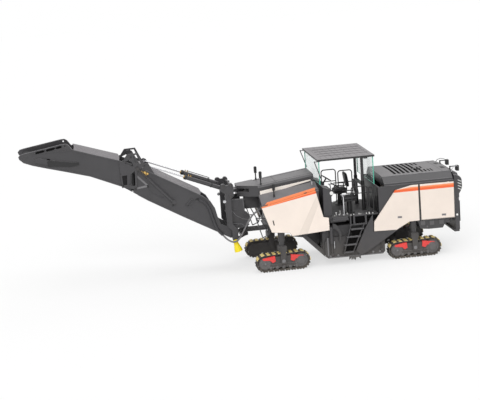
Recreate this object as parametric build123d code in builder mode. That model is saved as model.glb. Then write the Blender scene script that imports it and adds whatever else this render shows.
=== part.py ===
"""Cold planer: a tracked road milling machine with a slewing, folding discharge conveyor.

Millimetres. +X points to the front, where the conveyor is, +Y to the machine's left, +Z up.
The origin is on the ground, below the middle of the whole machine's box.
"""

import os
from math import atan2, cos, degrees, hypot, pi, radians, sin

from build123d import *

os.makedirs("parts", exist_ok=True)

# ---------------------------------------------------------------- driving dimensions
CONVEYOR_TIP_X = 6985
LAMPS_X = (-6985, -6900)
SEAT_GAP = 0.3  # between a piece and what it rests on
PIN_GAP = 0.8  # round a pin, shaft or rod that turns or slides

# tracks
FRONT_AXLE_X = -970
REAR_AXLE_X = -5260
TRACK_Y = 1075  # middle of a track
TRACK_WIDTH = 300
TRACK_LENGTH = 1750
TRACK_HEIGHT = 610
SHOE_COUNT = 22
SHOE_LENGTH = 145
SHOE_HEIGHT = 34
LINK_THICKNESS = 40
YOKE_GAP = 18  # between the chain and the yoke's arms
YOKE_ARM = 32
LEG_RADIUS = 84
GUIDE_RADIUS = 112
GUIDE_GAP = 5  # between a leg's guide tube and the bodywork round it
BODY_Y = TRACK_Y + GUIDE_RADIUS + 8  # outer face of the dark body, just past the legs' guides

# frame
BEAM_Y_IN = 480
BEAM_Y_OUT = 600
BEAM_Z_LOW = 1250
BEAM_Z_HIGH = 1500
BEAM_X_FRONT = -640
BEAM_X_REAR = -6560

# milling unit
DRUM_X = -3340
DRUM_Z = 530
HOUSING_Y_IN = BODY_Y - 165
DRUM_HALF_WIDTH = HOUSING_Y_IN - 30
DRUM_CORE_RADIUS = 395
DRUM_TIP_RADIUS = 490
DRUM_SHAFT_RADIUS = 90
HOUSING_X_FRONT = -2340
HOUSING_X_REAR = -4300
HOUSING_Z_LOW = 260
HOUSING_WALL = 40

# bodywork
FLAP_THICKNESS = 40
FLAP_GAP = 6
REAR_TOP_Z = 2370
HOOD_Z_EDGE = 2400
HOOD_Z_TOP = 2680
HOOD_X_FRONT = -4350
HOOD_X_REAR = -6600
SHEET = 30  # wall of hoods and shells

# platform and canopy
FLOOR_Z = 1560
FLOOR_THICKNESS = 40
FLOOR_X_FRONT = -2330
FLOOR_X_REAR = -4120
POST_X = -3820
POST_Y = 500
ROOF_X_FRONT = -2240
ROOF_X_REAR = -4080
ROOF_HALF_WIDTH = BODY_Y + 5
ROOF_Z_LOW = 3390
ROOF_Z_TOP = 3450

# slewing frame and conveyor
SLEW_X = 60
KINGPIN_RADIUS = 50
ARM_Y_IN = 570
ARM_Y_OUT = 650
LIFT_PIVOT = (400, 1200)  # x, z
CONVEYOR_Y_IN = 480
CONVEYOR_Y_OUT = 520
BELT_HALF_WIDTH = 430
BELT_THICKNESS = 20
FOLD_PIVOT = (3530, 3980)
LIFT_BASE = (740, 2700)
LIFT_EYE = (3060, 3660)
LIFT_CYLINDER_Y = 442
FOLD_BASE = (2300, 2430)
FOLD_EYE = (3350, 3600)
FOLD_CYLINDER_Y = 615

SIDES = (("left", 1), ("right", -1))
SIGNS = (1, -1)  # of y, on the left and on the right


# ---------------------------------------------------------------- small tools
def span(a, b):
    """The lower and the higher of two values."""
    return min(a, b), max(a, b)


def block(x, y, z, mode=Mode.ADD):
    """A box in the part being built, from its extents on x, y and z."""
    (x0, x1), (y0, y1), (z0, z1) = span(*x), span(*y), span(*z)
    with Locations(((x0 + x1) / 2, (y0 + y1) / 2, (z0 + z1) / 2)):
        Box(x1 - x0, y1 - y0, z1 - z0, mode=mode)


def side_plate(outline, y, mode=Mode.ADD):
    """A plate with an x, z outline, between two y values."""
    y0, y1 = span(*y)
    with BuildSketch(Plane.XZ.offset(-y1)) as profile:
        Polygon(*outline, align=None)
    extrude(profile.sketch, amount=y1 - y0, mode=mode)


def flat_plate(outline, z, mode=Mode.ADD):
    """A plate with an x, y outline, between two z values."""
    z0, z1 = span(*z)
    with BuildSketch(Plane.XY.offset(z0)) as profile:
        Polygon(*outline, align=None)
    extrude(profile.sketch, amount=z1 - z0, mode=mode)


def bar(start, end, radius, mode=Mode.ADD):
    """A round bar from one point to another."""
    way = Vector(*end) - Vector(*start)
    with BuildSketch(Plane(origin=start, z_dir=way)) as profile:
        Circle(radius)
    extrude(profile.sketch, amount=way.length, mode=mode)


def cross_bar(centre, y, radius, mode=Mode.ADD):
    """A round bar along y through an x, z centre."""
    y0, y1 = span(*y)
    bar((centre[0], y0, centre[1]), (centre[0], y1, centre[1]), radius, mode)


def post(centre, z, radius, mode=Mode.ADD):
    """A round bar along z through an x, y centre."""
    z0, z1 = span(*z)
    bar((centre[0], centre[1], z0), (centre[0], centre[1], z1), radius, mode)


def section_loft(sections):
    """A ruled loft through (x, [(y, z), ...]) sections."""
    rings = []
    for x, outline in sections:
        with BuildSketch(Plane.YZ.offset(x)) as ring:
            Polygon(*outline, align=None)
        rings.append(ring.sketch)
    return Solid.make_loft([ring.face().outer_wire() for ring in rings], ruled=True)


def along(start, end, distance):
    """The x, z point at a distance from start towards end."""
    length = hypot(end[0] - start[0], end[1] - start[1])
    part = distance / length
    return start[0] + (end[0] - start[0]) * part, start[1] + (end[1] - start[1]) * part


def at_y(point, y):
    """An x, z point as x, y, z."""
    return point[0], y, point[1]


def save(name, builder):
    builder.part.label = name
    export_step(builder.part, f"parts/{name}.step")


# ---------------------------------------------------------------- main frame
GUIDE_Z_LOW = 930
GUIDE_Z_HIGH = 1900
TONGUE_Z_LOW = 1150
TONGUE_Z_HIGH = 1250
TONGUE_HALF_WIDTH = 140
LOWER_PLATES_Z = ((1040, 1130), (1270, 1360))
AXLES = (("front", FRONT_AXLE_X), ("rear", REAR_AXLE_X))
BUMPER_Z = (760, 1130)
REAR_BODY_Z_LOW = 1510
TANK_Z_LOW = 1262
BODY_PADS_X = (-6350, -4450)
TANK_CARRIERS_X = (-1910, -1290)
CROSS_MEMBER_HEIGHT = 180
LASHING_EYES = (  # x, z of the lug's foot, y
    (-6560, 990, 695),
    (-710, 1110, 540),
)
LASHING_HOLE_RADIUS = 32

with BuildPart() as main_frame:
    for sign in SIGNS:
        block((BEAM_X_REAR, BEAM_X_FRONT), (sign * BEAM_Y_IN, sign * BEAM_Y_OUT), (BEAM_Z_LOW, BEAM_Z_HIGH))
        for x in BODY_PADS_X:
            block((x - 50, x + 50), (sign * (BEAM_Y_IN + 20), sign * (BEAM_Y_OUT - 20)),
                  (BEAM_Z_HIGH - 1, REAR_BODY_Z_LOW - SEAT_GAP))
        for x in TANK_CARRIERS_X:
            block((x - 40, x + 40), (sign * BEAM_Y_IN, sign * 1000), (TANK_Z_LOW - 47, TANK_Z_LOW - SEAT_GAP))
    for x in (BEAM_X_FRONT - 60, -4700, -5700, BEAM_X_REAR + 60):
        block((x - 60, x + 60), (-BEAM_Y_IN, BEAM_Y_IN), (BEAM_Z_LOW, BEAM_Z_LOW + CROSS_MEMBER_HEIGHT))
    block((BEAM_X_FRONT - 120, SLEW_X), (-TONGUE_HALF_WIDTH, TONGUE_HALF_WIDTH),
          (TONGUE_Z_LOW, TONGUE_Z_HIGH))
    post((SLEW_X, 0), (TONGUE_Z_LOW, TONGUE_Z_HIGH), TONGUE_HALF_WIDTH)
    post((SLEW_X, 0), (LOWER_PLATES_Z[0][0], LOWER_PLATES_Z[1][1]), KINGPIN_RADIUS)
    block((BEAM_X_REAR - 120, BEAM_X_REAR + 100), (-BODY_Y + 45, BODY_Y - 45),
          (BEAM_Z_LOW - 120, BEAM_Z_LOW + 60))
    for sign in (1, -1):
        for x, z_low, y in LASHING_EYES:
            block((x - 60, x + 60), (sign * y - 15, sign * y + 15), (z_low, z_low + 150))
            cross_bar((x, z_low + 60), (sign * y - 16, sign * y + 16), LASHING_HOLE_RADIUS, Mode.SUBTRACT)
save("main_frame", main_frame)

with BuildPart() as leg_guides:
    for sign in SIGNS:
        for axle, axle_x in AXLES:
            block(
                (axle_x - 100, axle_x + 100),
                (sign * BEAM_Y_OUT, sign * TRACK_Y),
                (BEAM_Z_LOW + 10, BEAM_Z_HIGH - 10),
            )
            post((axle_x, sign * TRACK_Y), (GUIDE_Z_LOW, GUIDE_Z_HIGH), GUIDE_RADIUS)
            post(
                (axle_x, sign * TRACK_Y),
                (GUIDE_Z_LOW - 1, GUIDE_Z_HIGH - 60),
                LEG_RADIUS + PIN_GAP,
                Mode.SUBTRACT,
            )
save("leg_guides", leg_guides)

ENGINE_X = (-6150, -4750)
ENGINE_HALF_WIDTH = 440
ENGINE_Z = (BEAM_Z_LOW + CROSS_MEMBER_HEIGHT, 2150)
with BuildPart() as engine_block:
    block(ENGINE_X, (-ENGINE_HALF_WIDTH, ENGINE_HALF_WIDTH), ENGINE_Z)
save("engine_block", engine_block)

# ---------------------------------------------------------------- rear body
REAR_BODY_X_FRONT = -4150
REAR_BODY_X_REAR = -6640
BODY_WALL = 35
MID_FLAP = (
    (-5440, 2360), (-5230, 2360), (-4690, 2245), (-3965, 1290), (-3945, 990), (-4680, 965), (-5100, 1190),
    (-5440, 1195)
)  # x, z
REAR_FLAP = ((-5500, 2360), (-6610, 2345), (-6610, 1180), (-5500, 1195))
SKIRT = (
    (-3925, 1545), (-3640, 1080), (-3330, 430), (-3480, 240), (-3820, 420),
    (-4450, 800), (-4690, 945), (-3925, 970)
)  # x, z, the dark plate that runs down to the milling unit

TRAY_OUTLINE = ((-5420, 1240), (-5420, 1120), (-5480, 900), (-5760, 865), (-6220, 865), (-6300, 1010),
                (-6440, 1030), (-6440, 1240))  # x, z, the boxes below the body, behind the rear legs

FLAP_Y_IN = BODY_Y + FLAP_GAP
FLAP_Y_OUT = FLAP_Y_IN + FLAP_THICKNESS
FLAP_HINGE_Y = BODY_Y + 26
FLAP_HINGE_RADIUS = 12
FLAP_PIN_RADIUS = 6
FLAP_HINGE_RISE = 15  # the hinge line above the flap's top edge
FRONT_HINGE = ((-370, 2120 + FLAP_HINGE_RISE), (-2120, 2490 + FLAP_HINGE_RISE))  # x, z of the line's ends
BODY_HINGE_Z = 2360 + FLAP_HINGE_RISE


def hinge_run(line, distances, length):
    """Start and end x, z points of short runs along a line."""
    return [(along(*line, distance), along(*line, distance + length)) for distance in distances]


REAR_HINGE_LINE = ((-5500, BODY_HINGE_Z), (-6610, BODY_HINGE_Z))
MID_HINGE_LINE = ((-5230, BODY_HINGE_Z), (-5440, BODY_HINGE_Z))
FRONT_KNUCKLES = hinge_run(FRONT_HINGE, (150, 1450), 60)
REAR_KNUCKLES = hinge_run(REAR_HINGE_LINE, (120, 900), 60)
MID_KNUCKLES = hinge_run(MID_HINGE_LINE, (10, 150), 40)


def flap_knuckle(start, end, sign):
    """A flap's tab up to its hinge line, bored for the pin."""
    tab = [start, end, (end[0], end[1] - 60), (start[0], start[1] - 60)]
    side_plate(tab, (sign * (FLAP_HINGE_Y - 8), sign * (FLAP_HINGE_Y + 8)))
    bar(at_y(start, sign * FLAP_HINGE_Y), at_y(end, sign * FLAP_HINGE_Y), FLAP_HINGE_RADIUS)
    bar(at_y(along(start, end, -5), sign * FLAP_HINGE_Y), at_y(along(start, end, 65), sign * FLAP_HINGE_Y),
        FLAP_PIN_RADIUS + PIN_GAP, Mode.SUBTRACT)


def flap_bracket(start, end, sign, y_in, drop):
    """The body's bracket beside a knuckle, and the pin that runs through both."""
    first = along(start, end, -30)
    last = along(start, end, -4)
    for depth, y_out in ((8, FLAP_HINGE_Y), (drop, BODY_Y)):
        web = [first, last, (last[0], last[1] - depth), (first[0], first[1] - depth)]
        side_plate(web, (sign * y_in, sign * y_out))
    bar(at_y(first, sign * FLAP_HINGE_Y), at_y(last, sign * FLAP_HINGE_Y), FLAP_HINGE_RADIUS)
    bar(at_y(first, sign * FLAP_HINGE_Y), at_y(end, sign * FLAP_HINGE_Y), FLAP_PIN_RADIUS)


with BuildPart() as rear_body:
    block((REAR_BODY_X_REAR, REAR_BODY_X_FRONT), (-BODY_Y, BODY_Y), (REAR_BODY_Z_LOW, REAR_TOP_Z + 20))
    block(
        (REAR_BODY_X_REAR + BODY_WALL, REAR_BODY_X_FRONT - BODY_WALL),
        (-BODY_Y + BODY_WALL, BODY_Y - BODY_WALL),
        (REAR_BODY_Z_LOW + BODY_WALL, REAR_TOP_Z + 21),
        Mode.SUBTRACT,
    )
    block((-6170, -4730), (-460, 460), (REAR_BODY_Z_LOW - 1, REAR_BODY_Z_LOW + BODY_WALL + 1), Mode.SUBTRACT)
    for sign in SIGNS:
        for door_x in ((-6520, -5600), (-5340, -4780)):
            block(door_x, (sign * (BODY_Y - BODY_WALL - 1), sign * (BODY_Y + 1)), (1620, 2250), Mode.SUBTRACT)
        post((REAR_AXLE_X, sign * TRACK_Y), (REAR_BODY_Z_LOW - 1, 2000), GUIDE_RADIUS + GUIDE_GAP,
             Mode.SUBTRACT)
        for start, end in (*MID_KNUCKLES, *REAR_KNUCKLES):
            flap_bracket(start, end, sign, BODY_Y - 10, 8)
save("rear_body", rear_body)

with BuildPart() as body_skirts:
    for sign in SIGNS:
        skirt_y = (sign * BODY_Y, sign * (BODY_Y + FLAP_THICKNESS))
        side_plate(SKIRT, skirt_y)
        inner_y = (sign * (BODY_Y - BODY_WALL), sign * BODY_Y)
        side_plate(((-4225, REAR_BODY_Z_LOW), (REAR_BODY_X_REAR, REAR_BODY_Z_LOW),
                    (REAR_BODY_X_REAR, 1180), (-5100, 1185), (-4700, 925), (-4330, 925),
                    (-4225, 1120)), inner_y)
        post((REAR_AXLE_X, sign * TRACK_Y), (900, 1560), GUIDE_RADIUS + GUIDE_GAP, Mode.SUBTRACT)
        side_plate(TRAY_OUTLINE, (sign * 700, sign * (BODY_Y - 30)))
save("body_skirts", body_skirts)

CAP_X_REAR = -6880
CORNER_OUTLINE = ((-6645, 2540), (-6720, 2535), (-6800, 2510), (-6860, 2460), (-6895, 2380), (-6905, 2170),
                  (-6880, 2060),
                  (-6820, 1960), (-6760, 1900), (-6660, 1850))  # x, z of the rounded rear corners
CORNER_SLOTS_Z = (2030, 2120, 2210, 2300)
HOOD_HINGE = (HOOD_X_REAR - 20, 2650)  # x, z
HOOD_HINGE_RADIUS = 15
HOOD_PIN_RADIUS = 9
HOOD_HINGE_Y = (560, 590, 596, 636)  # the hood's knuckle, then the rear cap's bracket
LAMP_Y = 570
LAMP_FOOT_Z = 2626
with BuildPart() as rear_cap:
    add(section_loft([
        (CAP_X_REAR + 60, [(-1100, 1780), (1100, 1780), (1120, 2420), (950, 2560), (-950, 2560),
                           (-1120, 2420)]),
        (HOOD_X_REAR - 45, [(-BODY_Y, 1760), (BODY_Y, 1760), (BODY_Y, 2420), (980, 2640), (-980, 2640),
                            (-BODY_Y, 2420)]),
    ]))
    block((-6780, REAR_BODY_X_REAR - SEAT_GAP), (-BODY_Y + 5, BODY_Y - 5), (BUMPER_Z[0], 1780))
    for sign in (1, -1):
        side_plate(CORNER_OUTLINE, (sign * (BODY_Y - 195), sign * (BODY_Y - 15)))
        for z in CORNER_SLOTS_Z:
            slot = ((-6890, z), (-6760, z + 60), (-6760, z + 88), (-6890, z + 28))
            side_plate(slot, (sign * (BODY_Y - 30), sign * (BODY_Y - 14)), Mode.SUBTRACT)
    block((-6760, -6600), (-BODY_Y, BODY_Y), (700, BUMPER_Z[0]))
    block((-6900, -6700), (-780, 780), (1900, 2350))
    block((-6730, REAR_BODY_X_REAR + 1), (-BODY_Y + 35, BODY_Y - 35), (1120, 1320), Mode.SUBTRACT)
    for sign in (1, -1):
        bracket_y = (sign * HOOD_HINGE_Y[2], sign * HOOD_HINGE_Y[3])
        cross_bar(HOOD_HINGE, bracket_y, HOOD_HINGE_RADIUS)
        block((HOOD_HINGE[0] - 40, HOOD_HINGE[0]), bracket_y, (2540, HOOD_HINGE[1]))
        cross_bar(HOOD_HINGE, (sign * (HOOD_HINGE_Y[0] - 5), sign * HOOD_HINGE_Y[3]), HOOD_PIN_RADIUS)
        block((-6735, -6665), (sign * (LAMP_Y - 35), sign * (LAMP_Y + 35)), (2540, LAMP_FOOT_Z - SEAT_GAP))
save("rear_cap", rear_cap)

# ---------------------------------------------------------------- engine hood
HOOD_OUTER = [(-BODY_Y, HOOD_Z_EDGE), (-BODY_Y + 25, 2470), (-BODY_Y + 235, HOOD_Z_TOP - 20), (0, HOOD_Z_TOP),
              (BODY_Y - 235, HOOD_Z_TOP - 20), (BODY_Y - 25, 2470), (BODY_Y, HOOD_Z_EDGE)]  # y, z
HOOD_INNER = [(-BODY_Y + SHEET, HOOD_Z_EDGE - 1), (-BODY_Y + 25 + SHEET, 2458),
              (-BODY_Y + 247, HOOD_Z_TOP - 20 - SHEET),
              (0, HOOD_Z_TOP - SHEET), (BODY_Y - 247, HOOD_Z_TOP - 20 - SHEET), (BODY_Y - 25 - SHEET, 2458),
              (BODY_Y - SHEET, HOOD_Z_EDGE - 1)]
LONG_SLOT = (-930, 700)  # y from, y to
SHORT_SLOTS = ((-900, -420), (-120, 160), (380, 740))
# x, y from, y to, half width
LOUVRES = [(x, *LONG_SLOT, 42) for x in (-4850, -5000, -5150, -5300, -5450, -5600)]
LOUVRES += [(x, *slot, 30) for x in (-5750, -5870) for slot in SHORT_SLOTS]
LOUVRES += [(x, *SHORT_SLOTS[2], 22) for x in (-5985, -6085)]
with BuildPart() as engine_hood:
    add(section_loft([(HOOD_X_REAR, HOOD_OUTER), (HOOD_X_FRONT, HOOD_OUTER)]))
    add(section_loft([(HOOD_X_REAR + SHEET, HOOD_INNER), (HOOD_X_FRONT - SHEET, HOOD_INNER)]),
        mode=Mode.SUBTRACT)
    for x, y0, y1, half in LOUVRES:
        block((x - half, x + half), (y0, y1), (HOOD_Z_TOP - 120, HOOD_Z_TOP + 1), Mode.SUBTRACT)
    for sign in (1, -1):
        knuckle_y = (sign * HOOD_HINGE_Y[0], sign * HOOD_HINGE_Y[1])
        block((HOOD_HINGE[0], HOOD_X_REAR + 1), knuckle_y, (HOOD_HINGE[1] - 14, HOOD_HINGE[1] + 14))
        cross_bar(HOOD_HINGE, knuckle_y, HOOD_HINGE_RADIUS)
        cross_bar(HOOD_HINGE, (sign * (HOOD_HINGE_Y[0] - 1), sign * (HOOD_HINGE_Y[1] + 1)),
                  HOOD_PIN_RADIUS + PIN_GAP, Mode.SUBTRACT)
save("engine_hood", engine_hood)

# ---------------------------------------------------------------- body flaps, hinged on their top edges
FRONT_FLAP = (
    (-370, 2120), (-2120, 2490), (-2330, 1612), (-2500, 1570), (-2500, 1170), (-1300, 1100), (-1220, 1215),
    (-650, 1280)
)  # x, z
for side, sign in SIDES:
    for flap_name, outline, knuckles in (
        ("front", FRONT_FLAP, FRONT_KNUCKLES), ("mid", MID_FLAP, MID_KNUCKLES),
        ("rear", REAR_FLAP, REAR_KNUCKLES),
    ):
        with BuildPart() as flap:
            side_plate(outline, (sign * FLAP_Y_IN, sign * FLAP_Y_OUT))
            for start, end in knuckles:
                flap_knuckle(start, end, sign)
        save(f"{flap_name}_flap_{side}", flap)

# ---------------------------------------------------------------- front body
STALKS = (  # x, y, z of the foot, z of the top
    (-520, 480, 2698, 3120), (-520, -480, 2698, 3120), (-850, 900, 2372, 2760),
)
TANK_Y_IN = 620
TANK_X_FRONT = -400
TANK_X_REAR = -2230
TANK_SIDE = ((-405, 2100), (-405, 2900), (TANK_X_REAR, 2900), (TANK_X_REAR, 1530),
             (-2300, 1530), (-2300, TANK_Z_LOW), (-1200, TANK_Z_LOW), (-690, 1300))  # x, z
FREE_HOSE_RADIUS = 28
FREE_ROUTE = (  # x, y, z, from the sleeve's mouth to the front body
    (815, 574, 1213), (752, 590, 1128), (655, 668, 1040), (535, 735, 985), (405, 772, 1010), (298, 792, 1120),
    (205, 803, 1275), (110, 808, 1440), (10, 800, 1610), (-100, 785, 1765), (-222, 770, 1872),
    (-352, 762, 1940),
)
GLAND = (  # the hose's gland, from just off the hose's end into the tank
    Vector(*FREE_ROUTE[-1]) + (Vector(*FREE_ROUTE[-1]) - Vector(*FREE_ROUTE[-2])).normalized() * SEAT_GAP,
    Vector(*FREE_ROUTE[-1]) + (Vector(*FREE_ROUTE[-1]) - Vector(*FREE_ROUTE[-2])).normalized() * 150,
)
STEP_FRAME_Y = 990
STEP_FRAME = (  # x, z of each tube's ends, in front of the tank
    ((-212, 1740), (-392, 1090)), ((-367, 1660), (-600, 1170)), ((-212, 1740), (-560, 1700)),
    ((-392, 1090), (-600, 1170)), ((-600, 1170), (-660, 1420)), ((-290, 1440), (-470, 1430)),
)
TANK_FRONT_Z = (2120, 2180, 2400)  # outer edge, shoulder, inner edge
TANK_REAR_Z = (2480, 2540, 2690)


def tank_section(sign, heights):
    low = 1100
    outline = [(TANK_Y_IN, low), (BODY_Y, low), (BODY_Y, heights[0]), (BODY_Y - 90, heights[1]),
               (TANK_Y_IN, heights[2])]
    return [(sign * y, z) for y, z in outline]


for side, sign in SIDES:
    with BuildPart() as tank:
        add(section_loft([(TANK_X_REAR - 71, tank_section(sign, TANK_REAR_Z)),
                          (TANK_X_FRONT, tank_section(sign, TANK_FRONT_Z))]))
        side_plate(TANK_SIDE, (sign * (TANK_Y_IN - 5), sign * (BODY_Y + 5)), Mode.INTERSECT)
        post((FRONT_AXLE_X, sign * TRACK_Y), (1000, GUIDE_Z_HIGH + 20), GUIDE_RADIUS + GUIDE_GAP,
             Mode.SUBTRACT)
        block(
            (FRONT_AXLE_X - 110, FRONT_AXLE_X + 110),
            (sign * (TANK_Y_IN - 5), sign * TRACK_Y),
            (1000, BEAM_Z_HIGH + 5),
            Mode.SUBTRACT,
        )
        for start, end in FRONT_KNUCKLES:
            flap_bracket(start, end, sign, BODY_Y - 60, 40)
        if sign > 0:
            x, y, foot_z, z_high = STALKS[2]
            block((x - 30, x + 30), (y - 30, y + 30), (foot_z - 60, foot_z - SEAT_GAP))
            bar(GLAND[0], GLAND[1], 40)
        for start, end in STEP_FRAME:
            bar(at_y(start, sign * STEP_FRAME_Y), at_y(end, sign * STEP_FRAME_Y), 16)
    save(f"front_tank_{side}", tank)

HOOD_FRONT_X = -400
HOOD_REAR_X = -2200


def front_hood_section(low, top, wall):
    y = TANK_Y_IN - SEAT_GAP - wall
    return [(-y, low), (y, low), (y, top - 60), (y - 70, top - wall), (-y + 70, top - wall), (-y, top - 60)]


with BuildPart() as front_hood:
    add(section_loft([(HOOD_REAR_X, front_hood_section(2560, 2910, 0)),
                      (HOOD_FRONT_X, front_hood_section(2300, 2680, 0))]))
    add(section_loft([(HOOD_REAR_X + SHEET, front_hood_section(2500, 2910, SHEET)),
                      (HOOD_FRONT_X + 1, front_hood_section(2240, 2680, SHEET))]), mode=Mode.SUBTRACT)
    for x, y, foot_z, z_high in STALKS[:2]:
        block((x - 35, x + 35), (y - 30, y + 30), (foot_z - 40, foot_z - SEAT_GAP))
save("front_hood", front_hood)

NOSE_X_FRONT = 220
NOSE_Z = (2340, 2690)
FORK_Z = (2480, 2600)  # the slot that the slewing frame's head turns in
NOSE_PLAN = ((HOOD_FRONT_X + SEAT_GAP, 590), (NOSE_X_FRONT, 240), (NOSE_X_FRONT, -240),
             (HOOD_FRONT_X + SEAT_GAP, -590))
with BuildPart() as nose_fork:
    flat_plate(NOSE_PLAN, NOSE_Z)
    block((-130, NOSE_X_FRONT + 1), (-600, 600), FORK_Z, Mode.SUBTRACT)
    post((SLEW_X, 0), FORK_Z, KINGPIN_RADIUS)
    for sign in (1, -1):
        block((HOOD_FRONT_X - 120, HOOD_FRONT_X + 10), (sign * 540, sign * 580), (2420, 2560))
save("nose_fork", nose_fork)

# ---------------------------------------------------------------- primary conveyor, under the front body
PRIMARY_FOOT = (-2330, 660)
PRIMARY_HEAD = (-500, 2080)
PRIMARY_DEPTH = 170  # half
PRIMARY_HALF_WIDTH = 430
CHUTE_HALF_WIDTH = 150
primary_way = (PRIMARY_HEAD[0] - PRIMARY_FOOT[0], PRIMARY_HEAD[1] - PRIMARY_FOOT[1])
primary_length = hypot(*primary_way)
primary_normal = (-primary_way[1] / primary_length, primary_way[0] / primary_length)


def primary_point(point, depth):
    return point[0] + primary_normal[0] * depth, point[1] + primary_normal[1] * depth


PRIMARY_OUTLINE = [
    primary_point(PRIMARY_FOOT, -PRIMARY_DEPTH),
    primary_point(PRIMARY_HEAD, -PRIMARY_DEPTH),
    primary_point(PRIMARY_HEAD, PRIMARY_DEPTH),
    primary_point(PRIMARY_FOOT, PRIMARY_DEPTH),
]
STAY_X = -700  # the cross wall that stands on the frame under the housing
STAY_HALF_LENGTH = 50
with BuildPart() as primary_conveyor:
    side_plate(PRIMARY_OUTLINE, (-PRIMARY_HALF_WIDTH, PRIMARY_HALF_WIDTH))
    block((-560, -10), (-CHUTE_HALF_WIDTH, CHUTE_HALF_WIDTH), (1900, NOSE_Z[0]))
    block((STAY_X - STAY_HALF_LENGTH, STAY_X + STAY_HALF_LENGTH), (-PRIMARY_HALF_WIDTH, PRIMARY_HALF_WIDTH),
          (BEAM_Z_LOW + 180, 1800))
save("primary_conveyor", primary_conveyor)

# ---------------------------------------------------------------- milling unit
CHAMBER_RADIUS = 545
FENDER_OUTLINE = ((-2620, 1370), (-2720, 1330), (-2800, 1240), (-2860, 1120), (-2890, 1000), (-2880, 860),
                  (-2850, 740),
                  # x, z
                  (-2800, 760), (-2815, 880), (-2815, 980), (-2780, 1080), (-2710, 1160), (-2620, 1190))
with BuildPart() as milling_housing:
    side_plate(
        ((HOUSING_X_FRONT, BEAM_Z_LOW), (HOUSING_X_REAR, BEAM_Z_LOW), (HOUSING_X_REAR, 340),
         (HOUSING_X_REAR + 80, HOUSING_Z_LOW), (HOUSING_X_FRONT - 80, HOUSING_Z_LOW), (HOUSING_X_FRONT, 340)),
        (-HOUSING_Y_IN - HOUSING_WALL, HOUSING_Y_IN + HOUSING_WALL),
    )
    cross_bar((DRUM_X, DRUM_Z), (-HOUSING_Y_IN, HOUSING_Y_IN), CHAMBER_RADIUS, Mode.SUBTRACT)
    block(
        (DRUM_X - CHAMBER_RADIUS, DRUM_X + CHAMBER_RADIUS),
        (-HOUSING_Y_IN, HOUSING_Y_IN),
        (HOUSING_Z_LOW - 1, DRUM_Z),
        Mode.SUBTRACT,
    )
    block((DRUM_X + 400, HOUSING_X_FRONT + 1), (-450, 450), (HOUSING_Z_LOW + 60, 1020), Mode.SUBTRACT)
    for sign in SIGNS:
        wall_y = (sign * HOUSING_Y_IN, sign * (HOUSING_Y_IN + HOUSING_WALL))
        side_plate(((HOUSING_X_FRONT, BEAM_Z_LOW - 10), (-1350, 1140), (-1290, 1060), (-1660, 990),
                    (HOUSING_X_FRONT, 290)), wall_y)
        side_plate(((-2290, 1120), (-1760, 1060), (-2290, 520)), (wall_y[0] - sign, wall_y[1] + sign),
                   Mode.SUBTRACT)
    block((HOUSING_X_FRONT, -1500), (-HOUSING_Y_IN, HOUSING_Y_IN), (1190, BEAM_Z_LOW - 40))
    block((-1900, -1500), (-460, 460), (1100, BEAM_Z_LOW), Mode.SUBTRACT)
    block((HOUSING_X_FRONT + 1, -1500), (-460, 460), (1000, BEAM_Z_LOW), Mode.SUBTRACT)
    cross_bar((DRUM_X, DRUM_Z), (-HOUSING_Y_IN - 60, HOUSING_Y_IN + 60), DRUM_SHAFT_RADIUS + PIN_GAP,
              Mode.SUBTRACT)
    for sign in (1, -1):
        side_plate(FENDER_OUTLINE, (sign * (BODY_Y - 45), sign * (BODY_Y - 5)))
        block((-2700, -2640), (sign * (HOUSING_Y_IN + HOUSING_WALL), sign * (BODY_Y - 44)), (1180, 1240))
save("milling_housing", milling_housing)

TOOL_ROWS = 30
TOOLS_PER_ROW = 4
TOOL_RADIUS = 26
TOOL_SPIRAL = 0.11  # degrees round the drum for each mm away from its middle
with BuildPart() as drum_tool:
    with BuildSketch(Plane.YZ.offset(DRUM_CORE_RADIUS - 10)):
        Rectangle(2 * TOOL_RADIUS, 2 * TOOL_RADIUS)
    extrude(amount=DRUM_TIP_RADIUS - DRUM_CORE_RADIUS + 10, taper=12)
tool_places = []
for row in range(TOOL_ROWS):
    y = (row + 0.5) * 2 * (DRUM_HALF_WIDTH - 30) / TOOL_ROWS - (DRUM_HALF_WIDTH - 30)
    for turn in range(TOOLS_PER_ROW):
        angle = turn * 360 / TOOLS_PER_ROW + abs(y) * TOOL_SPIRAL
        tool_places.append(Location((DRUM_X, y, DRUM_Z), (0, -angle, 0)))
with BuildPart() as milling_drum:
    cross_bar((DRUM_X, DRUM_Z), (-DRUM_HALF_WIDTH, DRUM_HALF_WIDTH), DRUM_CORE_RADIUS)
    cross_bar((DRUM_X, DRUM_Z), (-HOUSING_Y_IN - HOUSING_WALL, HOUSING_Y_IN + HOUSING_WALL),
              DRUM_SHAFT_RADIUS)
    with Locations(*tool_places):
        add(drum_tool.part)
save("milling_drum", milling_drum)

SIDE_PLATE_Y = (HOUSING_Y_IN + 60, HOUSING_Y_IN + 100)
SIDE_PLATE_OUTLINE = ((-2345, 300), (-2440, 225), (-4220, 210), (HOUSING_X_REAR, 290), (HOUSING_X_REAR, 780),
                      (-4080, 900), (-2480, 900), (-2345, 760))  # x, z
PLATE_CYLINDERS = (  # x, y, barrel radius, rod radius
    (-2560, SIDE_PLATE_Y[1] + 60, 52, 30),
    (-4180, SIDE_PLATE_Y[1] + 32, 28, 15),
)
PLATE_BARREL_Z = (720, 1225)
for side, sign in SIDES:
    with BuildPart() as plate:
        side_plate(SIDE_PLATE_OUTLINE, (sign * SIDE_PLATE_Y[0], sign * SIDE_PLATE_Y[1]))
        for x, y, barrel_radius, rod_radius in PLATE_CYLINDERS:
            block((x - 45, x + 45), (sign * SIDE_PLATE_Y[1], sign * (y + rod_radius)), (320, 390))
            post((x, sign * y), (390, 945), rod_radius)
    save(f"side_plate_{side}", plate)

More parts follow.
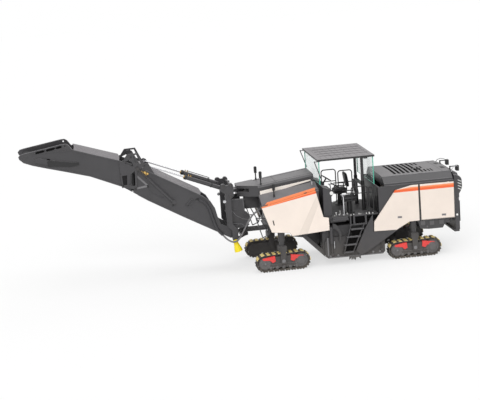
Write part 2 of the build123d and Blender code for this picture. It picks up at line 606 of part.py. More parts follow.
with BuildPart() as plate_cylinders:
    for sign in SIGNS:
        for x, y, barrel_radius, rod_radius in PLATE_CYLINDERS:
            post((x, sign * y), PLATE_BARREL_Z, barrel_radius)
            block((x - 28, x + 28), (sign * (HOUSING_Y_IN + HOUSING_WALL), sign * y),
                  (1165, PLATE_BARREL_Z[1]))
            post((x, sign * y), (PLATE_BARREL_Z[0] - 1, 1205), rod_radius + PIN_GAP, Mode.SUBTRACT)
save("plate_cylinders", plate_cylinders)

# ---------------------------------------------------------------- tracks
IDLER_RADIUS = TRACK_HEIGHT / 2 - SHOE_HEIGHT - 20
SPROCKET_RADIUS = TRACK_HEIGHT / 2 - SHOE_HEIGHT
END_REACH = TRACK_LENGTH / 2 - SHOE_HEIGHT


def track_outline(grow):
    """The chain's outline about its axle, grown outwards: idler in front, sprocket behind."""
    with BuildSketch(Plane.XZ) as loop:
        with BuildLine():
            Polyline((IDLER_REACH, SHOE_HEIGHT - grow), (-SPROCKET_REACH, SHOE_HEIGHT - grow))
            ThreePointArc(
                (-SPROCKET_REACH, SHOE_HEIGHT - grow),
                (-SPROCKET_REACH - SPROCKET_RADIUS - grow, SHOE_HEIGHT + SPROCKET_RADIUS),
                (-SPROCKET_REACH, SHOE_HEIGHT + 2 * SPROCKET_RADIUS + grow),
            )
            Line(
                (-SPROCKET_REACH, SHOE_HEIGHT + 2 * SPROCKET_RADIUS + grow),
                (IDLER_REACH, SHOE_HEIGHT + 2 * IDLER_RADIUS + grow),
            )
            ThreePointArc(
                (IDLER_REACH, SHOE_HEIGHT + 2 * IDLER_RADIUS + grow),
                (IDLER_REACH + IDLER_RADIUS + grow, SHOE_HEIGHT + IDLER_RADIUS),
                (IDLER_REACH, SHOE_HEIGHT - grow),
            )
        make_face()
    return loop.sketch


def chain_place(distance):
    """Where a point that far round the chain is, as x, z and its outward direction in degrees."""
    run = IDLER_REACH + SPROCKET_REACH
    slope = atan2(2 * (SPROCKET_RADIUS - IDLER_RADIUS), run)
    if distance < run:
        return IDLER_REACH - distance, SHOE_HEIGHT, -90
    distance -= run
    if distance < pi * SPROCKET_RADIUS:
        turn = distance / SPROCKET_RADIUS
        centre_z = SHOE_HEIGHT + SPROCKET_RADIUS
        x = -SPROCKET_REACH - SPROCKET_RADIUS * sin(turn)
        return x, centre_z - SPROCKET_RADIUS * cos(turn), 270 - degrees(turn)
    distance -= pi * SPROCKET_RADIUS
    if distance < run:
        z = SHOE_HEIGHT + 2 * SPROCKET_RADIUS - distance * sin(slope)
        return distance - SPROCKET_REACH, z, 90 - degrees(slope)
    turn = (distance - run) / IDLER_RADIUS
    centre_z = SHOE_HEIGHT + IDLER_RADIUS
    return IDLER_REACH + IDLER_RADIUS * sin(turn), centre_z + IDLER_RADIUS * cos(turn), 90 - degrees(turn)


YOKE_Z = (TRACK_HEIGHT + 28, TRACK_HEIGHT + 190)
LEG_TOP_Z = 1700
IDLER_REACH = END_REACH - IDLER_RADIUS
SPROCKET_REACH = END_REACH - SPROCKET_RADIUS
CHAIN_LENGTH = 2 * (IDLER_REACH + SPROCKET_REACH) + pi * (IDLER_RADIUS + SPROCKET_RADIUS)
SHOE_PITCH = CHAIN_LENGTH / SHOE_COUNT
with BuildPart() as chain:
    with BuildSketch(Plane.XZ):
        add(track_outline(SHOE_HEIGHT))
        for shoe in range(SHOE_COUNT):
            x, z, outward = chain_place((shoe + 0.5) * SHOE_PITCH)
            with Locations(Location((x, z, 0), (0, 0, outward))):
                Rectangle(2.4 * SHOE_HEIGHT, SHOE_PITCH - SHOE_LENGTH, align=(Align.MIN, Align.CENTER),
                          mode=Mode.SUBTRACT)
        add(track_outline(-LINK_THICKNESS), mode=Mode.SUBTRACT)
    extrude(amount=TRACK_WIDTH / 2, both=True)
for axle, axle_x in AXLES:
    for side, sign in SIDES:
        with BuildPart() as placed_chain:
            with Locations((axle_x, sign * TRACK_Y, 0)):
                add(chain.part)
        save(f"track_chain_{axle}_{side}", placed_chain)

ARM_OUT = TRACK_WIDTH / 2 + YOKE_GAP + YOKE_ARM
TRACK_PIVOT_Z = 330
ROLLER_RADIUS = 62
for axle, axle_x in AXLES:
    for side, sign in SIDES:
        middle = sign * TRACK_Y
        half_frame = TRACK_WIDTH / 2 - 20
        idler_x = axle_x + IDLER_REACH
        sprocket_x = axle_x - SPROCKET_REACH
        frame_y = (middle - half_frame, middle + half_frame)
        with BuildPart() as frame:
            side_plate(
                ((idler_x + 60, 190), (idler_x + 60, 400), (idler_x - 60, 480), (sprocket_x + 60, 480),
                 (sprocket_x - 60, 400), (sprocket_x - 60, 190), (sprocket_x + 60, 130), (idler_x - 60, 130)),
                frame_y,
            )
            for wheel_x, radius in ((idler_x, IDLER_RADIUS), (sprocket_x, SPROCKET_RADIUS)):
                cross_bar((wheel_x, SHOE_HEIGHT + radius), frame_y, radius - LINK_THICKNESS - SEAT_GAP)
            cross_bar((sprocket_x, SHOE_HEIGHT + SPROCKET_RADIUS), (middle - 165, middle + 165), 120)
            for roller_x in (-420, -210, 0, 210, 420):
                cross_bar((axle_x + roller_x, SHOE_HEIGHT + LINK_THICKNESS + ROLLER_RADIUS + SEAT_GAP),
                          frame_y,
                          ROLLER_RADIUS)
            for front, wheel_x in ((1, idler_x), (-1, sprocket_x)):
                cover_x = wheel_x - front * 60
                side_plate(
                    ((cover_x + front * 90, 455), (cover_x - front * 230, 500), (cover_x - front * 230, 360),
                     (cover_x - front * 120, 345), (cover_x + front * 20, 400)),
                    (middle - half_frame - 22, middle + half_frame + 22),
                )
            for reach in (1, -1):
                arm_y = (middle + reach * (ARM_OUT - YOKE_ARM), middle + reach * ARM_OUT)
                side_plate(
                    ((axle_x - 95, YOKE_Z[1]), (axle_x + 95, YOKE_Z[1]), (axle_x + 80, 230),
                     (axle_x - 80, 230)), arm_y
                )
            cross_bar((axle_x, TRACK_PIVOT_Z), (middle - ARM_OUT, middle + ARM_OUT), 70)
            block((axle_x - 120, axle_x + 120), (middle - ARM_OUT, middle + ARM_OUT), YOKE_Z)
        save(f"track_frame_{axle}_{side}", frame)
        with BuildPart() as leg:
            post((axle_x, middle), (YOKE_Z[1], LEG_TOP_Z), LEG_RADIUS)
        save(f"lifting_leg_{axle}_{side}", leg)

# ---------------------------------------------------------------- platform
with BuildPart() as platform_floor:
    block((FLOOR_X_REAR, FLOOR_X_FRONT), (-BODY_Y + 20, BODY_Y - 20), (FLOOR_Z - FLOOR_THICKNESS, FLOOR_Z))
    for sign in (1, -1):
        block((-3060, -2560), (sign * (BODY_Y - 90), sign * (BODY_Y - 20)),
              (FLOOR_Z - 170, FLOOR_Z - FLOOR_THICKNESS))
    for x in (-3950, -2700):
        block((x - 60, x + 60), (-BEAM_Y_OUT, BEAM_Y_OUT), (BEAM_Z_HIGH, FLOOR_Z - FLOOR_THICKNESS))
save("platform_floor", platform_floor)

RAIL_RADIUS = 18
RAIL_Y = BODY_Y - 55
RAIL_BEND = 90
RAIL_FRAMES = (  # side, x rear, x front, z top, z of the middle rail
    (1, -3800, -3290, 2470, 2250),
    (1, -3990, -3850, 2410, 2250),
    (-1, -3840, -3370, 2590, 2200),
    (-1, -3290, -2810, 2660, 2270),
)
with BuildPart() as railings:
    for sign, x_rear, x_front, z_top, z_middle in RAIL_FRAMES:
        foot = Vector(x_rear, sign * RAIL_Y, FLOOR_Z)
        reach = Vector(x_front - x_rear, 0, 0)
        rise = Vector(0, 0, z_top - FLOOR_Z)
        bend = min(RAIL_BEND, 0.45 * (x_front - x_rear))
        with BuildLine():
            rail_route = FilletPolyline(foot, foot + rise, foot + rise + reach, foot + reach, radius=bend)
        with BuildSketch(Plane(origin=foot, z_dir=(0, 0, 1))):
            Circle(RAIL_RADIUS)
        sweep(path=rail_route)
        bar((x_rear, sign * RAIL_Y, z_middle), (x_front, sign * RAIL_Y, z_middle), RAIL_RADIUS - 3)
save("railings", railings)

with BuildPart() as consoles:
    for sign in (1, -1):
        side_plate(
            ((-2380, FLOOR_Z), (-2640, FLOOR_Z), (-2640, 2180), (-2760, 2330), (-2640, 2440), (-2400, 2520)),
            (sign * 420, sign * (BODY_Y - 135)),
        )
    block((-2480, -2400), (-420, 420), (FLOOR_Z, 2300))
save("consoles", consoles)

SEAT_X = -3300
with BuildPart() as seats:
    for sign in (1, -1):
        block((SEAT_X - 240, SEAT_X + 240), (sign * 450, sign * 920), (2000, 2120))
        side_plate(((SEAT_X - 240, 2100), (SEAT_X - 150, 2100), (SEAT_X - 230, 2640), (SEAT_X - 310, 2640)),
                   (sign * 460, sign * 910))
        block((SEAT_X - 90, SEAT_X + 90), (sign * 600, sign * 770), (FLOOR_Z, 2000))
save("seats", seats)

STEP_Y = (BODY_Y - 45, BODY_Y + 80)
STEPS = (  # x rear, x front, z top
    (-3610, -3190, 1130), (-3490, -3050, 890), (-3350, -2950, 640), (-3240, -2940, 400),
)
with BuildPart() as steps:
    for sign in (1, -1):
        step_y = (sign * STEP_Y[0], sign * STEP_Y[1])
        for x0, x1, z in STEPS:
            block((x0, x1), step_y, (z - 30, z))
        for x_low, x_high in ((-2910, -3170), (-3190, -3600)):
            side_plate(((x_low, 350), (x_low - 30, 350), (x_high - 30, 1250), (x_high, 1250)), step_y)
        block((-3720, -3180), (sign * (BODY_Y - 20), sign * (BODY_Y + 40)), (1250, 1280))
        for x in (-3700, -3200):
            block((x - 20, x + 20), (sign * (BODY_Y - 20), sign * (BODY_Y + 40)), (1280, FLOOR_Z))
save("steps", steps)

# ---------------------------------------------------------------- canopy
SLEEVE_RADIUS = 58
POST_RADIUS = 46
POST_Z_LOW = 2060
SLEEVE_Z_HIGH = 2520
with BuildPart() as canopy_sleeves:
    for sign in (1, -1):
        post((POST_X, sign * POST_Y), (FLOOR_Z, SLEEVE_Z_HIGH), SLEEVE_RADIUS)
        post((POST_X, sign * POST_Y), (FLOOR_Z + 20, SLEEVE_Z_HIGH + 1), POST_RADIUS + PIN_GAP, Mode.SUBTRACT)
        block((POST_X - 75, POST_X + 75), (sign * (POST_Y - 75), sign * (POST_Y + 75)),
              (FLOOR_Z, FLOOR_Z + 20))
    block((POST_X - 40, POST_X + 40), (-POST_Y + SLEEVE_RADIUS - 5, POST_Y - SLEEVE_RADIUS + 5), (2350, 2430))
save("canopy_sleeves", canopy_sleeves)

FRONT_PANE_X = -2300
REAR_PANE_X = -4040
PANE_HALF_WIDTH = BODY_Y - 75
with BuildPart() as canopy:
    block((ROOF_X_REAR, ROOF_X_FRONT), (-ROOF_HALF_WIDTH, ROOF_HALF_WIDTH), (ROOF_Z_LOW, ROOF_Z_TOP))
    for sign in (1, -1):
        post((POST_X, sign * POST_Y), (POST_Z_LOW, ROOF_Z_LOW), POST_RADIUS)
        bar((-2344, sign * (PANE_HALF_WIDTH + 22), 2820),
            (-2150, sign * (PANE_HALF_WIDTH + 22), ROOF_Z_LOW + 10), 15)
        block((-2340, ROOF_X_FRONT + 90), (sign * (PANE_HALF_WIDTH + 7), sign * (PANE_HALF_WIDTH + 37)),
              (ROOF_Z_LOW - 20, ROOF_Z_LOW + 1))
    block((POST_X - 60, POST_X + 60), (-1100, 1100), (ROOF_Z_LOW - 60, ROOF_Z_LOW))
    for y in (-600, -200, 200, 600):
        block((ROOF_X_REAR + 90, ROOF_X_FRONT - 200), (y - 18, y + 18), (ROOF_Z_TOP - 1, ROOF_Z_TOP + 9))
save("canopy", canopy)

with BuildPart() as canopy_glass:
    for x, z_low in ((FRONT_PANE_X, 2640), (REAR_PANE_X, 2500)):
        block((x - 6, x + 6), (-PANE_HALF_WIDTH, PANE_HALF_WIDTH), (z_low, ROOF_Z_LOW))
save("canopy_glass", canopy_glass)

# ---------------------------------------------------------------- lamps and mirrors
with BuildPart() as lamps:
    for sign in (1, -1):
        post((-6700, sign * LAMP_Y), (LAMP_FOOT_Z, 2728), 22)
        bar((-6700, sign * LAMP_Y, 2712), (-6920, sign * LAMP_Y, 2712), 16)
        block(LAMPS_X, (sign * (LAMP_Y - 70), sign * (LAMP_Y + 70)), (2560, 2730))
    for x, y, foot_z, z_high in STALKS:
        post((x, y), (foot_z, z_high - 160), 16)
        block((x - 30, x + 30), (y - 50, y + 50), (z_high - 200, z_high))
save("lamps", lamps)

# ---------------------------------------------------------------- slewing frame
HEAD_Z = (2495, 2585)
TUBE_X = 440
TUBES_Z = (2440, 2740)
TUBE_RADIUS = 42
PIN_RADIUS = 45
LUG_RADIUS = 30
ARM_OUTLINE = ((390, 2810), (790, 2810), (815, 2640), (670, 2540), (670, 1500), (520, 1340), (520, 1040),
               (330, 1040), (330, 1360), (490, 1560), (490, 2380), (390, 2440))  # x, z
ARM_BOSSES = ((470, 2790, 76), (715, 2775, 88), (500, 2440, 70))  # x, z, radius
LOWER_PLATE = ((-60, 130), (60, 240), (330, ARM_Y_OUT), (520, ARM_Y_OUT), (520, ARM_Y_IN - 10),
               (310, ARM_Y_IN - 10),
               (200, 420))  # x, y of the left half
HEAD_PLATE = ((SLEW_X, 105), (TUBE_X - 20, 300), (TUBE_X + 60, 300))  # x, y of the left half


def both_halves(outline):
    """A left-half x, y outline and its mirror image, as one closed outline."""
    return [*outline, *[(x, -y) for x, y in reversed(outline)]]


with BuildPart() as slew_frame:
    for sign in (1, -1):
        side_plate(ARM_OUTLINE, (sign * ARM_Y_IN, sign * ARM_Y_OUT))
        for boss_x, boss_z, boss_radius in ARM_BOSSES:
            cross_bar((boss_x, boss_z), (sign * (ARM_Y_IN - 8), sign * (ARM_Y_OUT + 14)), boss_radius)
        cross_bar(LIFT_PIVOT, (sign * (CONVEYOR_Y_IN - 20), sign * ARM_Y_IN), PIN_RADIUS)
        cross_bar(LIFT_BASE, (sign * 395, sign * ARM_Y_IN), LUG_RADIUS)
        block((TUBE_X - 60, TUBE_X + 60), (sign * 200, sign * 240), (TUBES_Z[0] - 60, TUBES_Z[1] + 60))
    for z in TUBES_Z:
        cross_bar((TUBE_X, z), (-ARM_Y_IN - 10, ARM_Y_IN + 10), TUBE_RADIUS)
    for plate_z in LOWER_PLATES_Z:
        flat_plate(both_halves(LOWER_PLATE), plate_z)
        post((SLEW_X, 0), (plate_z[0] - 1, plate_z[1] + 1), KINGPIN_RADIUS + PIN_GAP, Mode.SUBTRACT)
    flat_plate(both_halves(HEAD_PLATE), HEAD_Z)
    post((SLEW_X, 0), HEAD_Z, 108)
    post((SLEW_X, 0), (HEAD_Z[0] - 1, HEAD_Z[1] + 1), KINGPIN_RADIUS + PIN_GAP, Mode.SUBTRACT)
save("slew_frame", slew_frame)

HOPPER_Y = (400, 430)
HOPPER_SIDE = ((455, LOWER_PLATES_Z[1][1]), (490, 1420), (490, 2310), (60, 2300), (38, 1890), (-20, 1860),
               (-95, 1700),
               (-120, 1650), (-70, 1600), (-115, 1545), (-50, 1490), (-85, 1440), (-30, 1400),
               (-50, LOWER_PLATES_Z[1][1]))  # x, z, with the torn edge of its rubber skirt
HOPPER_RIB = ((485, 2010), (300, 1960), (100, 1830), (-60, 1660), (-60, 1625), (110, 1795), (300, 1925),
              (485, 1975))
with BuildPart() as transfer_hopper:
    for sign in (1, -1):
        side_plate(HOPPER_SIDE, (sign * HOPPER_Y[0], sign * HOPPER_Y[1]))
        side_plate(HOPPER_RIB, (sign * (HOPPER_Y[1] - 1), sign * (HOPPER_Y[1] + 14)))
        block((200, 215), (sign * (HOPPER_Y[1] - 1), sign * (HOPPER_Y[1] + 14)), (2060, 2300))
        block((480, 560), (sign * (HOPPER_Y[1] - 5), sign * ARM_Y_IN), (1700, 1760))
    block((460, 490), (-HOPPER_Y[0], HOPPER_Y[0]), (1900, 2310))
save("transfer_hopper", transfer_hopper)

# ---------------------------------------------------------------- discharge conveyor, rear section
REAR_SIDE = ((345, 1050), (560, 1090), (960, 1320), (2020, 1920), (3090, 2550), (3540, 2850), (3480, 3740),
             # x, z
             (1410, 2550), (1130, 2330), (1000, 2100), (930, 1800), (840, 1560), (600, 1450), (300, 1450))
FOLD_EAR = ((3180, 3560), (3440, 3710), (3470, 3880), (3600, 3945), (3590, 4030), (3500, 4060), (3400, 4000))
LIFT_EAR = ((2820, 3350), (3180, 3560), (3140, 3700), (3060, 3740), (2980, 3700))
FOLD_PIN_RADIUS = 30
EYE_PIN_RADIUS = 26
BELT_ROLLER_RADIUS = 45
REAR_BELT = ((480, 1160), (620, 1240), (960, 1440), (3460, 2940), (3440, 3480), (520, 1380), (460, 1300))
FRONT_BELT = ((3640, 3080), (3890, 3200), (4830, 3600), (5500, 3790), (6560, 4080), (6800, 4170),
              (6850, 4250),
              (6760, 4310), (5300, 4200), (3870, 3740), (3620, 3620))


STRIP_THICKNESS = 12
STRIP_LAP = 8  # of each strip past its corners, into the next strip
REAR_STRIPS = (  # x, z of the start and end, depth below the line, negative for above it
    ((1650, 2686), (3060, 3496), 40), ((1300, 1514), (2020, 1922), -40), ((2020, 1922), (3090, 2552), -40),
    ((3090, 2552), (3320, 2706), -40), ((1700, 2220), (1860, 2310), 90), ((2960, 2560), (3040, 3470), 44),
)


def edge_strip(start, end, depth, y):
    """A stiffening strip on a side plate, along a line between two x, z points."""
    start, end = along(start, end, -STRIP_LAP), along(end, start, -STRIP_LAP)
    way_x, way_z = end[0] - start[0], end[1] - start[1]
    length = hypot(way_x, way_z)
    drop_x, drop_z = depth * way_z / length, -depth * way_x / length
    side_plate((start, end, (end[0] + drop_x, end[1] + drop_z), (start[0] + drop_x, start[1] + drop_z)), y)


def belt_roller(start, end, distance):
    """A roller that carries a belt's top run, below a point on the run's outer face."""
    x, z = along(start, end, distance)
    way_x, way_z = end[0] - start[0], end[1] - start[1]
    drop = BELT_THICKNESS + BELT_ROLLER_RADIUS + SEAT_GAP
    length = hypot(way_x, way_z)
    centre = (x + drop * way_z / length, z - drop * way_x / length)
    cross_bar(centre, (-CONVEYOR_Y_IN - 5, CONVEYOR_Y_IN + 5), BELT_ROLLER_RADIUS)


with BuildPart() as conveyor_rear:
    for sign in (1, -1):
        plate_y = (sign * CONVEYOR_Y_IN, sign * CONVEYOR_Y_OUT)
        for outline in (REAR_SIDE, FOLD_EAR, LIFT_EAR):
            side_plate(outline, plate_y)
        for start, end, depth in REAR_STRIPS:
            edge_strip(start, end, depth, (sign * CONVEYOR_Y_OUT, sign * (CONVEYOR_Y_OUT + STRIP_THICKNESS)))
        cross_bar(FOLD_BASE, (sign * CONVEYOR_Y_OUT, sign * 645), EYE_PIN_RADIUS)
        cross_bar(LIFT_PIVOT, (plate_y[0] - sign, plate_y[1] + sign), PIN_RADIUS + PIN_GAP, Mode.SUBTRACT)
        cross_bar(FOLD_PIVOT, (plate_y[0] - sign, plate_y[1] + sign), FOLD_PIN_RADIUS + PIN_GAP,
                  Mode.SUBTRACT)
    for x, z in ((700, 1215), (1500, 1710), (2300, 2160), (3050, 2600), (3440, 2860)):
        cross_bar((x, z), (-CONVEYOR_Y_IN - 5, CONVEYOR_Y_IN + 5), 34)
    for distance in (500, 1500, 2500, 3400):
        belt_roller(REAR_BELT[5], REAR_BELT[4], distance)
save("conveyor_rear", conveyor_rear)


def belt_loop(outline):
    """A belt running round the inside of an x, z outline."""
    with BuildPart() as belt:
        with BuildSketch(Plane.XZ.offset(-BELT_HALF_WIDTH)):
            Polygon(*outline, align=None)
            offset(amount=-BELT_THICKNESS, kind=Kind.INTERSECTION, mode=Mode.SUBTRACT)
        extrude(amount=2 * BELT_HALF_WIDTH)
    return belt


save("belt_rear", belt_loop(REAR_BELT))


def cover_run(start, end, half_width, crown):
    """An arched cover over a straight run of side plates, between two x, z points."""
    way = Vector(end[0] - start[0], 0, end[1] - start[1])
    length = way.length
    across = Plane(origin=(start[0], 0, start[1]), x_dir=(0, 1, 0), z_dir=way)
    up = -1 if across.y_dir.Z < 0 else 1
    with BuildSketch(across) as arch:
        Polygon(
            (-half_width, 0), (half_width, 0), (half_width, up * 14), (half_width - 180, up * (crown + 14)),
            (180 - half_width, up * (crown + 14)), (-half_width, up * 14), align=None,
        )
        Polygon(
            (14 - half_width, -up), (half_width - 14, -up), (half_width - 186, up * crown),
            (186 - half_width, up * crown), align=None, mode=Mode.SUBTRACT,
        )
    extrude(arch.sketch, amount=length)


COVER_DROP = 25  # the cover's edge below the side plates' top edge
COVER_HALF_WIDTH = CONVEYOR_Y_IN - SEAT_GAP
with BuildPart() as cover_rear:
    slope = (3740 - 2550) / (3480 - 1410)
    cover_run((1440, 2550 + 30 * slope - COVER_DROP), (3430, 2550 + 2020 * slope - COVER_DROP),
              COVER_HALF_WIDTH, 90)
save("cover_rear", cover_rear)

# ---------------------------------------------------------------- discharge conveyor, front section
FRONT_SIDE = ((3560, 2865), (3890, 3080), (4830, 3490), (5510, 3690), (6180, 3880), (6580, 4000),
              (6850, 4110),
              (6960, 4210), (CONVEYOR_TIP_X, 4290), (6930, 4350), (6780, 4385), (5620, 4570), (5500, 4575),
              (5420, 4530), (5310, 4370), (3870, 3890), (3500, 3755))  # x, z
HINGE_PLATE = ((3290, 4090), (3640, 4080), (3770, 3900), (3900, 3860), (3900, 3450), (3880, 3050),
               (3440, 2940),
               (3400, 3010), (3370, 3530), (3270, 3560), (3110, 3700))
HINGE_WINDOWS = (
    ((3330, 4040), (3450, 4035), (3440, 3930), (3400, 3800), (3230, 3740)),
    ((3590, 3900), (3720, 3850), (3720, 3800), (3540, 3690), (3470, 3680), (3500, 3800)),
    ((3440, 3540), (3580, 3430), (3640, 3110), (3500, 3050), (3460, 3070)),
    ((3690, 3420), (3850, 3410), (3830, 3120), (3710, 3110)),
)
HINGE_PLATE_Y = (530, 560)
HEAD_EYE = (5535, 4510)
HEAD_EYE_RADIUS = 26
HINGE_BOSSES = ((3840, 3100), (3460, 2985), (3350, 3600), (3530, 3980))
HEAD_EDGE = ((5620, 4570), (6780, 4385))  # x, z, the head's top edge
HEAD_SLOPE = (HEAD_EDGE[1][1] - HEAD_EDGE[0][1]) / (HEAD_EDGE[1][0] - HEAD_EDGE[0][0])
HEAD_SLOTS_X = (5640, 5810, 5980, 6150, 6320)
DRIVE_GUARD = ((5130, 3880), (5180, 3960), (6080, 4130), (6380, 4220), (6480, 4180), (6490, 4080),
               (6160, 3990), (5400, 3850))
FRONT_STRIPS = (
    ((3930, 3906), (5300, 4362), 40), ((3930, 3102), (4830, 3495), -40), ((4830, 3495), (5510, 3695), -40),
    ((5510, 3695), (6180, 3885), -40), ((6180, 3885), (6580, 4005), -40), ((5360, 4372), (6560, 4380), 36),
)
with BuildPart() as conveyor_front:
    for sign in (1, -1):
        side_plate(FRONT_SIDE, (sign * CONVEYOR_Y_IN, sign * CONVEYOR_Y_OUT))
        cross_bar(HEAD_EYE, (sign * (CONVEYOR_Y_IN - 1), sign * (CONVEYOR_Y_OUT + 1)), HEAD_EYE_RADIUS,
                  Mode.SUBTRACT)
        side_plate(HINGE_PLATE, (sign * HINGE_PLATE_Y[0], sign * HINGE_PLATE_Y[1]))
        for window in HINGE_WINDOWS:
            side_plate(window, (sign * (HINGE_PLATE_Y[0] - 1), sign * (HINGE_PLATE_Y[1] + 1)), Mode.SUBTRACT)
        for pin in HINGE_BOSSES:
            cross_bar(pin, (sign * HINGE_PLATE_Y[0], sign * (HINGE_PLATE_Y[1] + 12)), 34)
        for start, end, depth in FRONT_STRIPS:
            edge_strip(start, end, depth, (sign * CONVEYOR_Y_OUT, sign * (CONVEYOR_Y_OUT + STRIP_THICKNESS)))
        side_plate(DRIVE_GUARD, (sign * CONVEYOR_Y_OUT, sign * (CONVEYOR_Y_OUT + 30)))
        for x in HEAD_SLOTS_X:
            edge_z = HEAD_EDGE[0][1] + (x - HEAD_EDGE[0][0]) * HEAD_SLOPE
            slot = ((x, edge_z - 85), (x + 115, edge_z - 85 + 115 * HEAD_SLOPE),
                    (x + 115, edge_z - 45 + 115 * HEAD_SLOPE),
                    (x, edge_z - 45))
            side_plate(slot, (sign * (CONVEYOR_Y_IN - 1), sign * (CONVEYOR_Y_OUT + STRIP_THICKNESS + 1)),
                       Mode.SUBTRACT)
        block((3620, 3880), (sign * CONVEYOR_Y_OUT, sign * HINGE_PLATE_Y[0]), (3480, 3760))
        cross_bar(FOLD_PIVOT, (sign * (CONVEYOR_Y_IN - 5), sign * HINGE_PLATE_Y[1]), FOLD_PIN_RADIUS)
    for x, z in ((3700, 3010), (4500, 3390), (5300, 3680), (6100, 3900)):
        cross_bar((x, z), (-CONVEYOR_Y_IN - 5, CONVEYOR_Y_IN + 5), 34)
    for distance in (250, 850, 1350):
        belt_roller(FRONT_BELT[9], FRONT_BELT[8], distance)
save("conveyor_front", conveyor_front)

save("belt_front", belt_loop(FRONT_BELT))

with BuildPart() as cover_front:
    slope = (4370 - 3890) / (5310 - 3870)
    cover_run((3900, 3890 + 30 * slope - COVER_DROP), (5280, 3890 + 1410 * slope - COVER_DROP),
              COVER_HALF_WIDTH, 100)
save("cover_front", cover_front)

# ---------------------------------------------------------------- cylinders of the conveyor
# name, base, eye, y, barrel radius, rod radius, barrel length, rod length, pin radius, eye width, rod pin's y
CYLINDERS = (
    ("lift", LIFT_BASE, LIFT_EYE, LIFT_CYLINDER_Y, 66, 26, 1250, 1950, LUG_RADIUS, 50, (405, 474)),
    ("fold", FOLD_BASE, FOLD_EYE, FOLD_CYLINDER_Y, 40, 24, 1150, 1380, EYE_PIN_RADIUS, 46, (580, 648)),
)
for cylinder in CYLINDERS:
    name, base, eye, y, barrel_radius, rod_radius, barrel_length, rod_length, pin_radius, eye_width, pin_y = cylinder
    total = hypot(eye[0] - base[0], eye[1] - base[1])
    gland = along(base, eye, barrel_length)
    bottom = along(base, eye, pin_radius + 32)
    bore_start = along(base, eye, pin_radius + 62)
    rod_start = along(base, eye, total - rod_length)
    rod_end = along(base, eye, total - EYE_PIN_RADIUS - 20)
    with BuildPart() as barrels:
        for sign in (1, -1):
            eye_y = (sign * y - eye_width / 2, sign * y + eye_width / 2)
            cross_bar(base, eye_y, pin_radius + 34)
            bar(at_y(bottom, sign * y), at_y(gland, sign * y), barrel_radius)
            bar(at_y(bore_start, sign * y), at_y(along(base, eye, barrel_length + 1), sign * y),
                rod_radius + PIN_GAP,
                Mode.SUBTRACT)
            cross_bar(base, (eye_y[0] - 60, eye_y[1] + 60), pin_radius + PIN_GAP, Mode.SUBTRACT)
    save(f"{name}_barrels", barrels)
    with BuildPart() as rods:
        for sign in (1, -1):
            eye_y = (sign * y - eye_width / 2, sign * y + eye_width / 2)
            bar(at_y(rod_start, sign * y), at_y(rod_end, sign * y), rod_radius)
            cross_bar(eye, eye_y, EYE_PIN_RADIUS + 28)
            cross_bar(eye, (sign * pin_y[0], sign * pin_y[1]), EYE_PIN_RADIUS)
    save(f"{name}_rods", rods)

# ---------------------------------------------------------------- hoses
SLEEVE_HOSE_RADIUS = 48
SLEEVE_HOSE_Y = CONVEYOR_Y_OUT + SLEEVE_HOSE_RADIUS + SEAT_GAP
# x, z
SLEEVE_ROUTE = ((1500, 2440), (1290, 2310), (1170, 2080), (1110, 1820), (1040, 1560), (940, 1350),
                (820, 1220))
ARC_SHARE = 0.45  # of the shorter run, taken by each corner's arc


def hose(points, radius):
    """A tube of straight runs joined by arcs as large as the runs allow."""
    corners = [Vector(*p) for p in points]
    radii = []
    for before, corner, after in zip(corners, corners[1:], corners[2:]):
        shorter = min((corner - before).length, (after - corner).length)
        half_turn = radians((corner - before).get_angle(after - corner)) / 2
        radii.append(ARC_SHARE * shorter / (sin(half_turn) / cos(half_turn)))
    with BuildPart() as tube:
        with BuildLine() as route:
            FilletPolyline(*corners, radius=radii)
        with BuildSketch(Plane(origin=corners[0], z_dir=corners[1] - corners[0])):
            Circle(radius)
        sweep(path=route.line)
    length = sum(edge.length for edge in route.edges())
    print("hose radii", [round(r) for r in radii], "length", round(length),
          "volume share", round(tube.part.volume / (pi * radius**2 * length), 4))
    return tube


sleeve_points = [(x, SLEEVE_HOSE_Y, z) for x, z in SLEEVE_ROUTE]
save("conveyor_hose", hose(sleeve_points, SLEEVE_HOSE_RADIUS))
save("slew_hose", hose(FREE_ROUTE, FREE_HOSE_RADIUS))

NOZZLE_Y = 620
with BuildPart() as hanging_nozzle:
    with BuildSketch(Plane.XY.offset(640)) as mouth:
        Circle(110)
    with BuildSketch(Plane.XY.offset(860)) as throat:
        Circle(52)
    loft([mouth.sketch.moved(Location((330, NOZZLE_Y, 0))),
          throat.sketch.moved(Location((330, NOZZLE_Y, 0)))])
    post((330, NOZZLE_Y), (860, LOWER_PLATES_Z[0][0]), 52)
save("hanging_nozzle", hanging_nozzle)
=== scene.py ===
"""The looks of the cold planer: materials, detail pieces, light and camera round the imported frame."""

from math import atan2, cos, pi, radians, sin

import bmesh
import bpy
from mathutils import Matrix, Vector


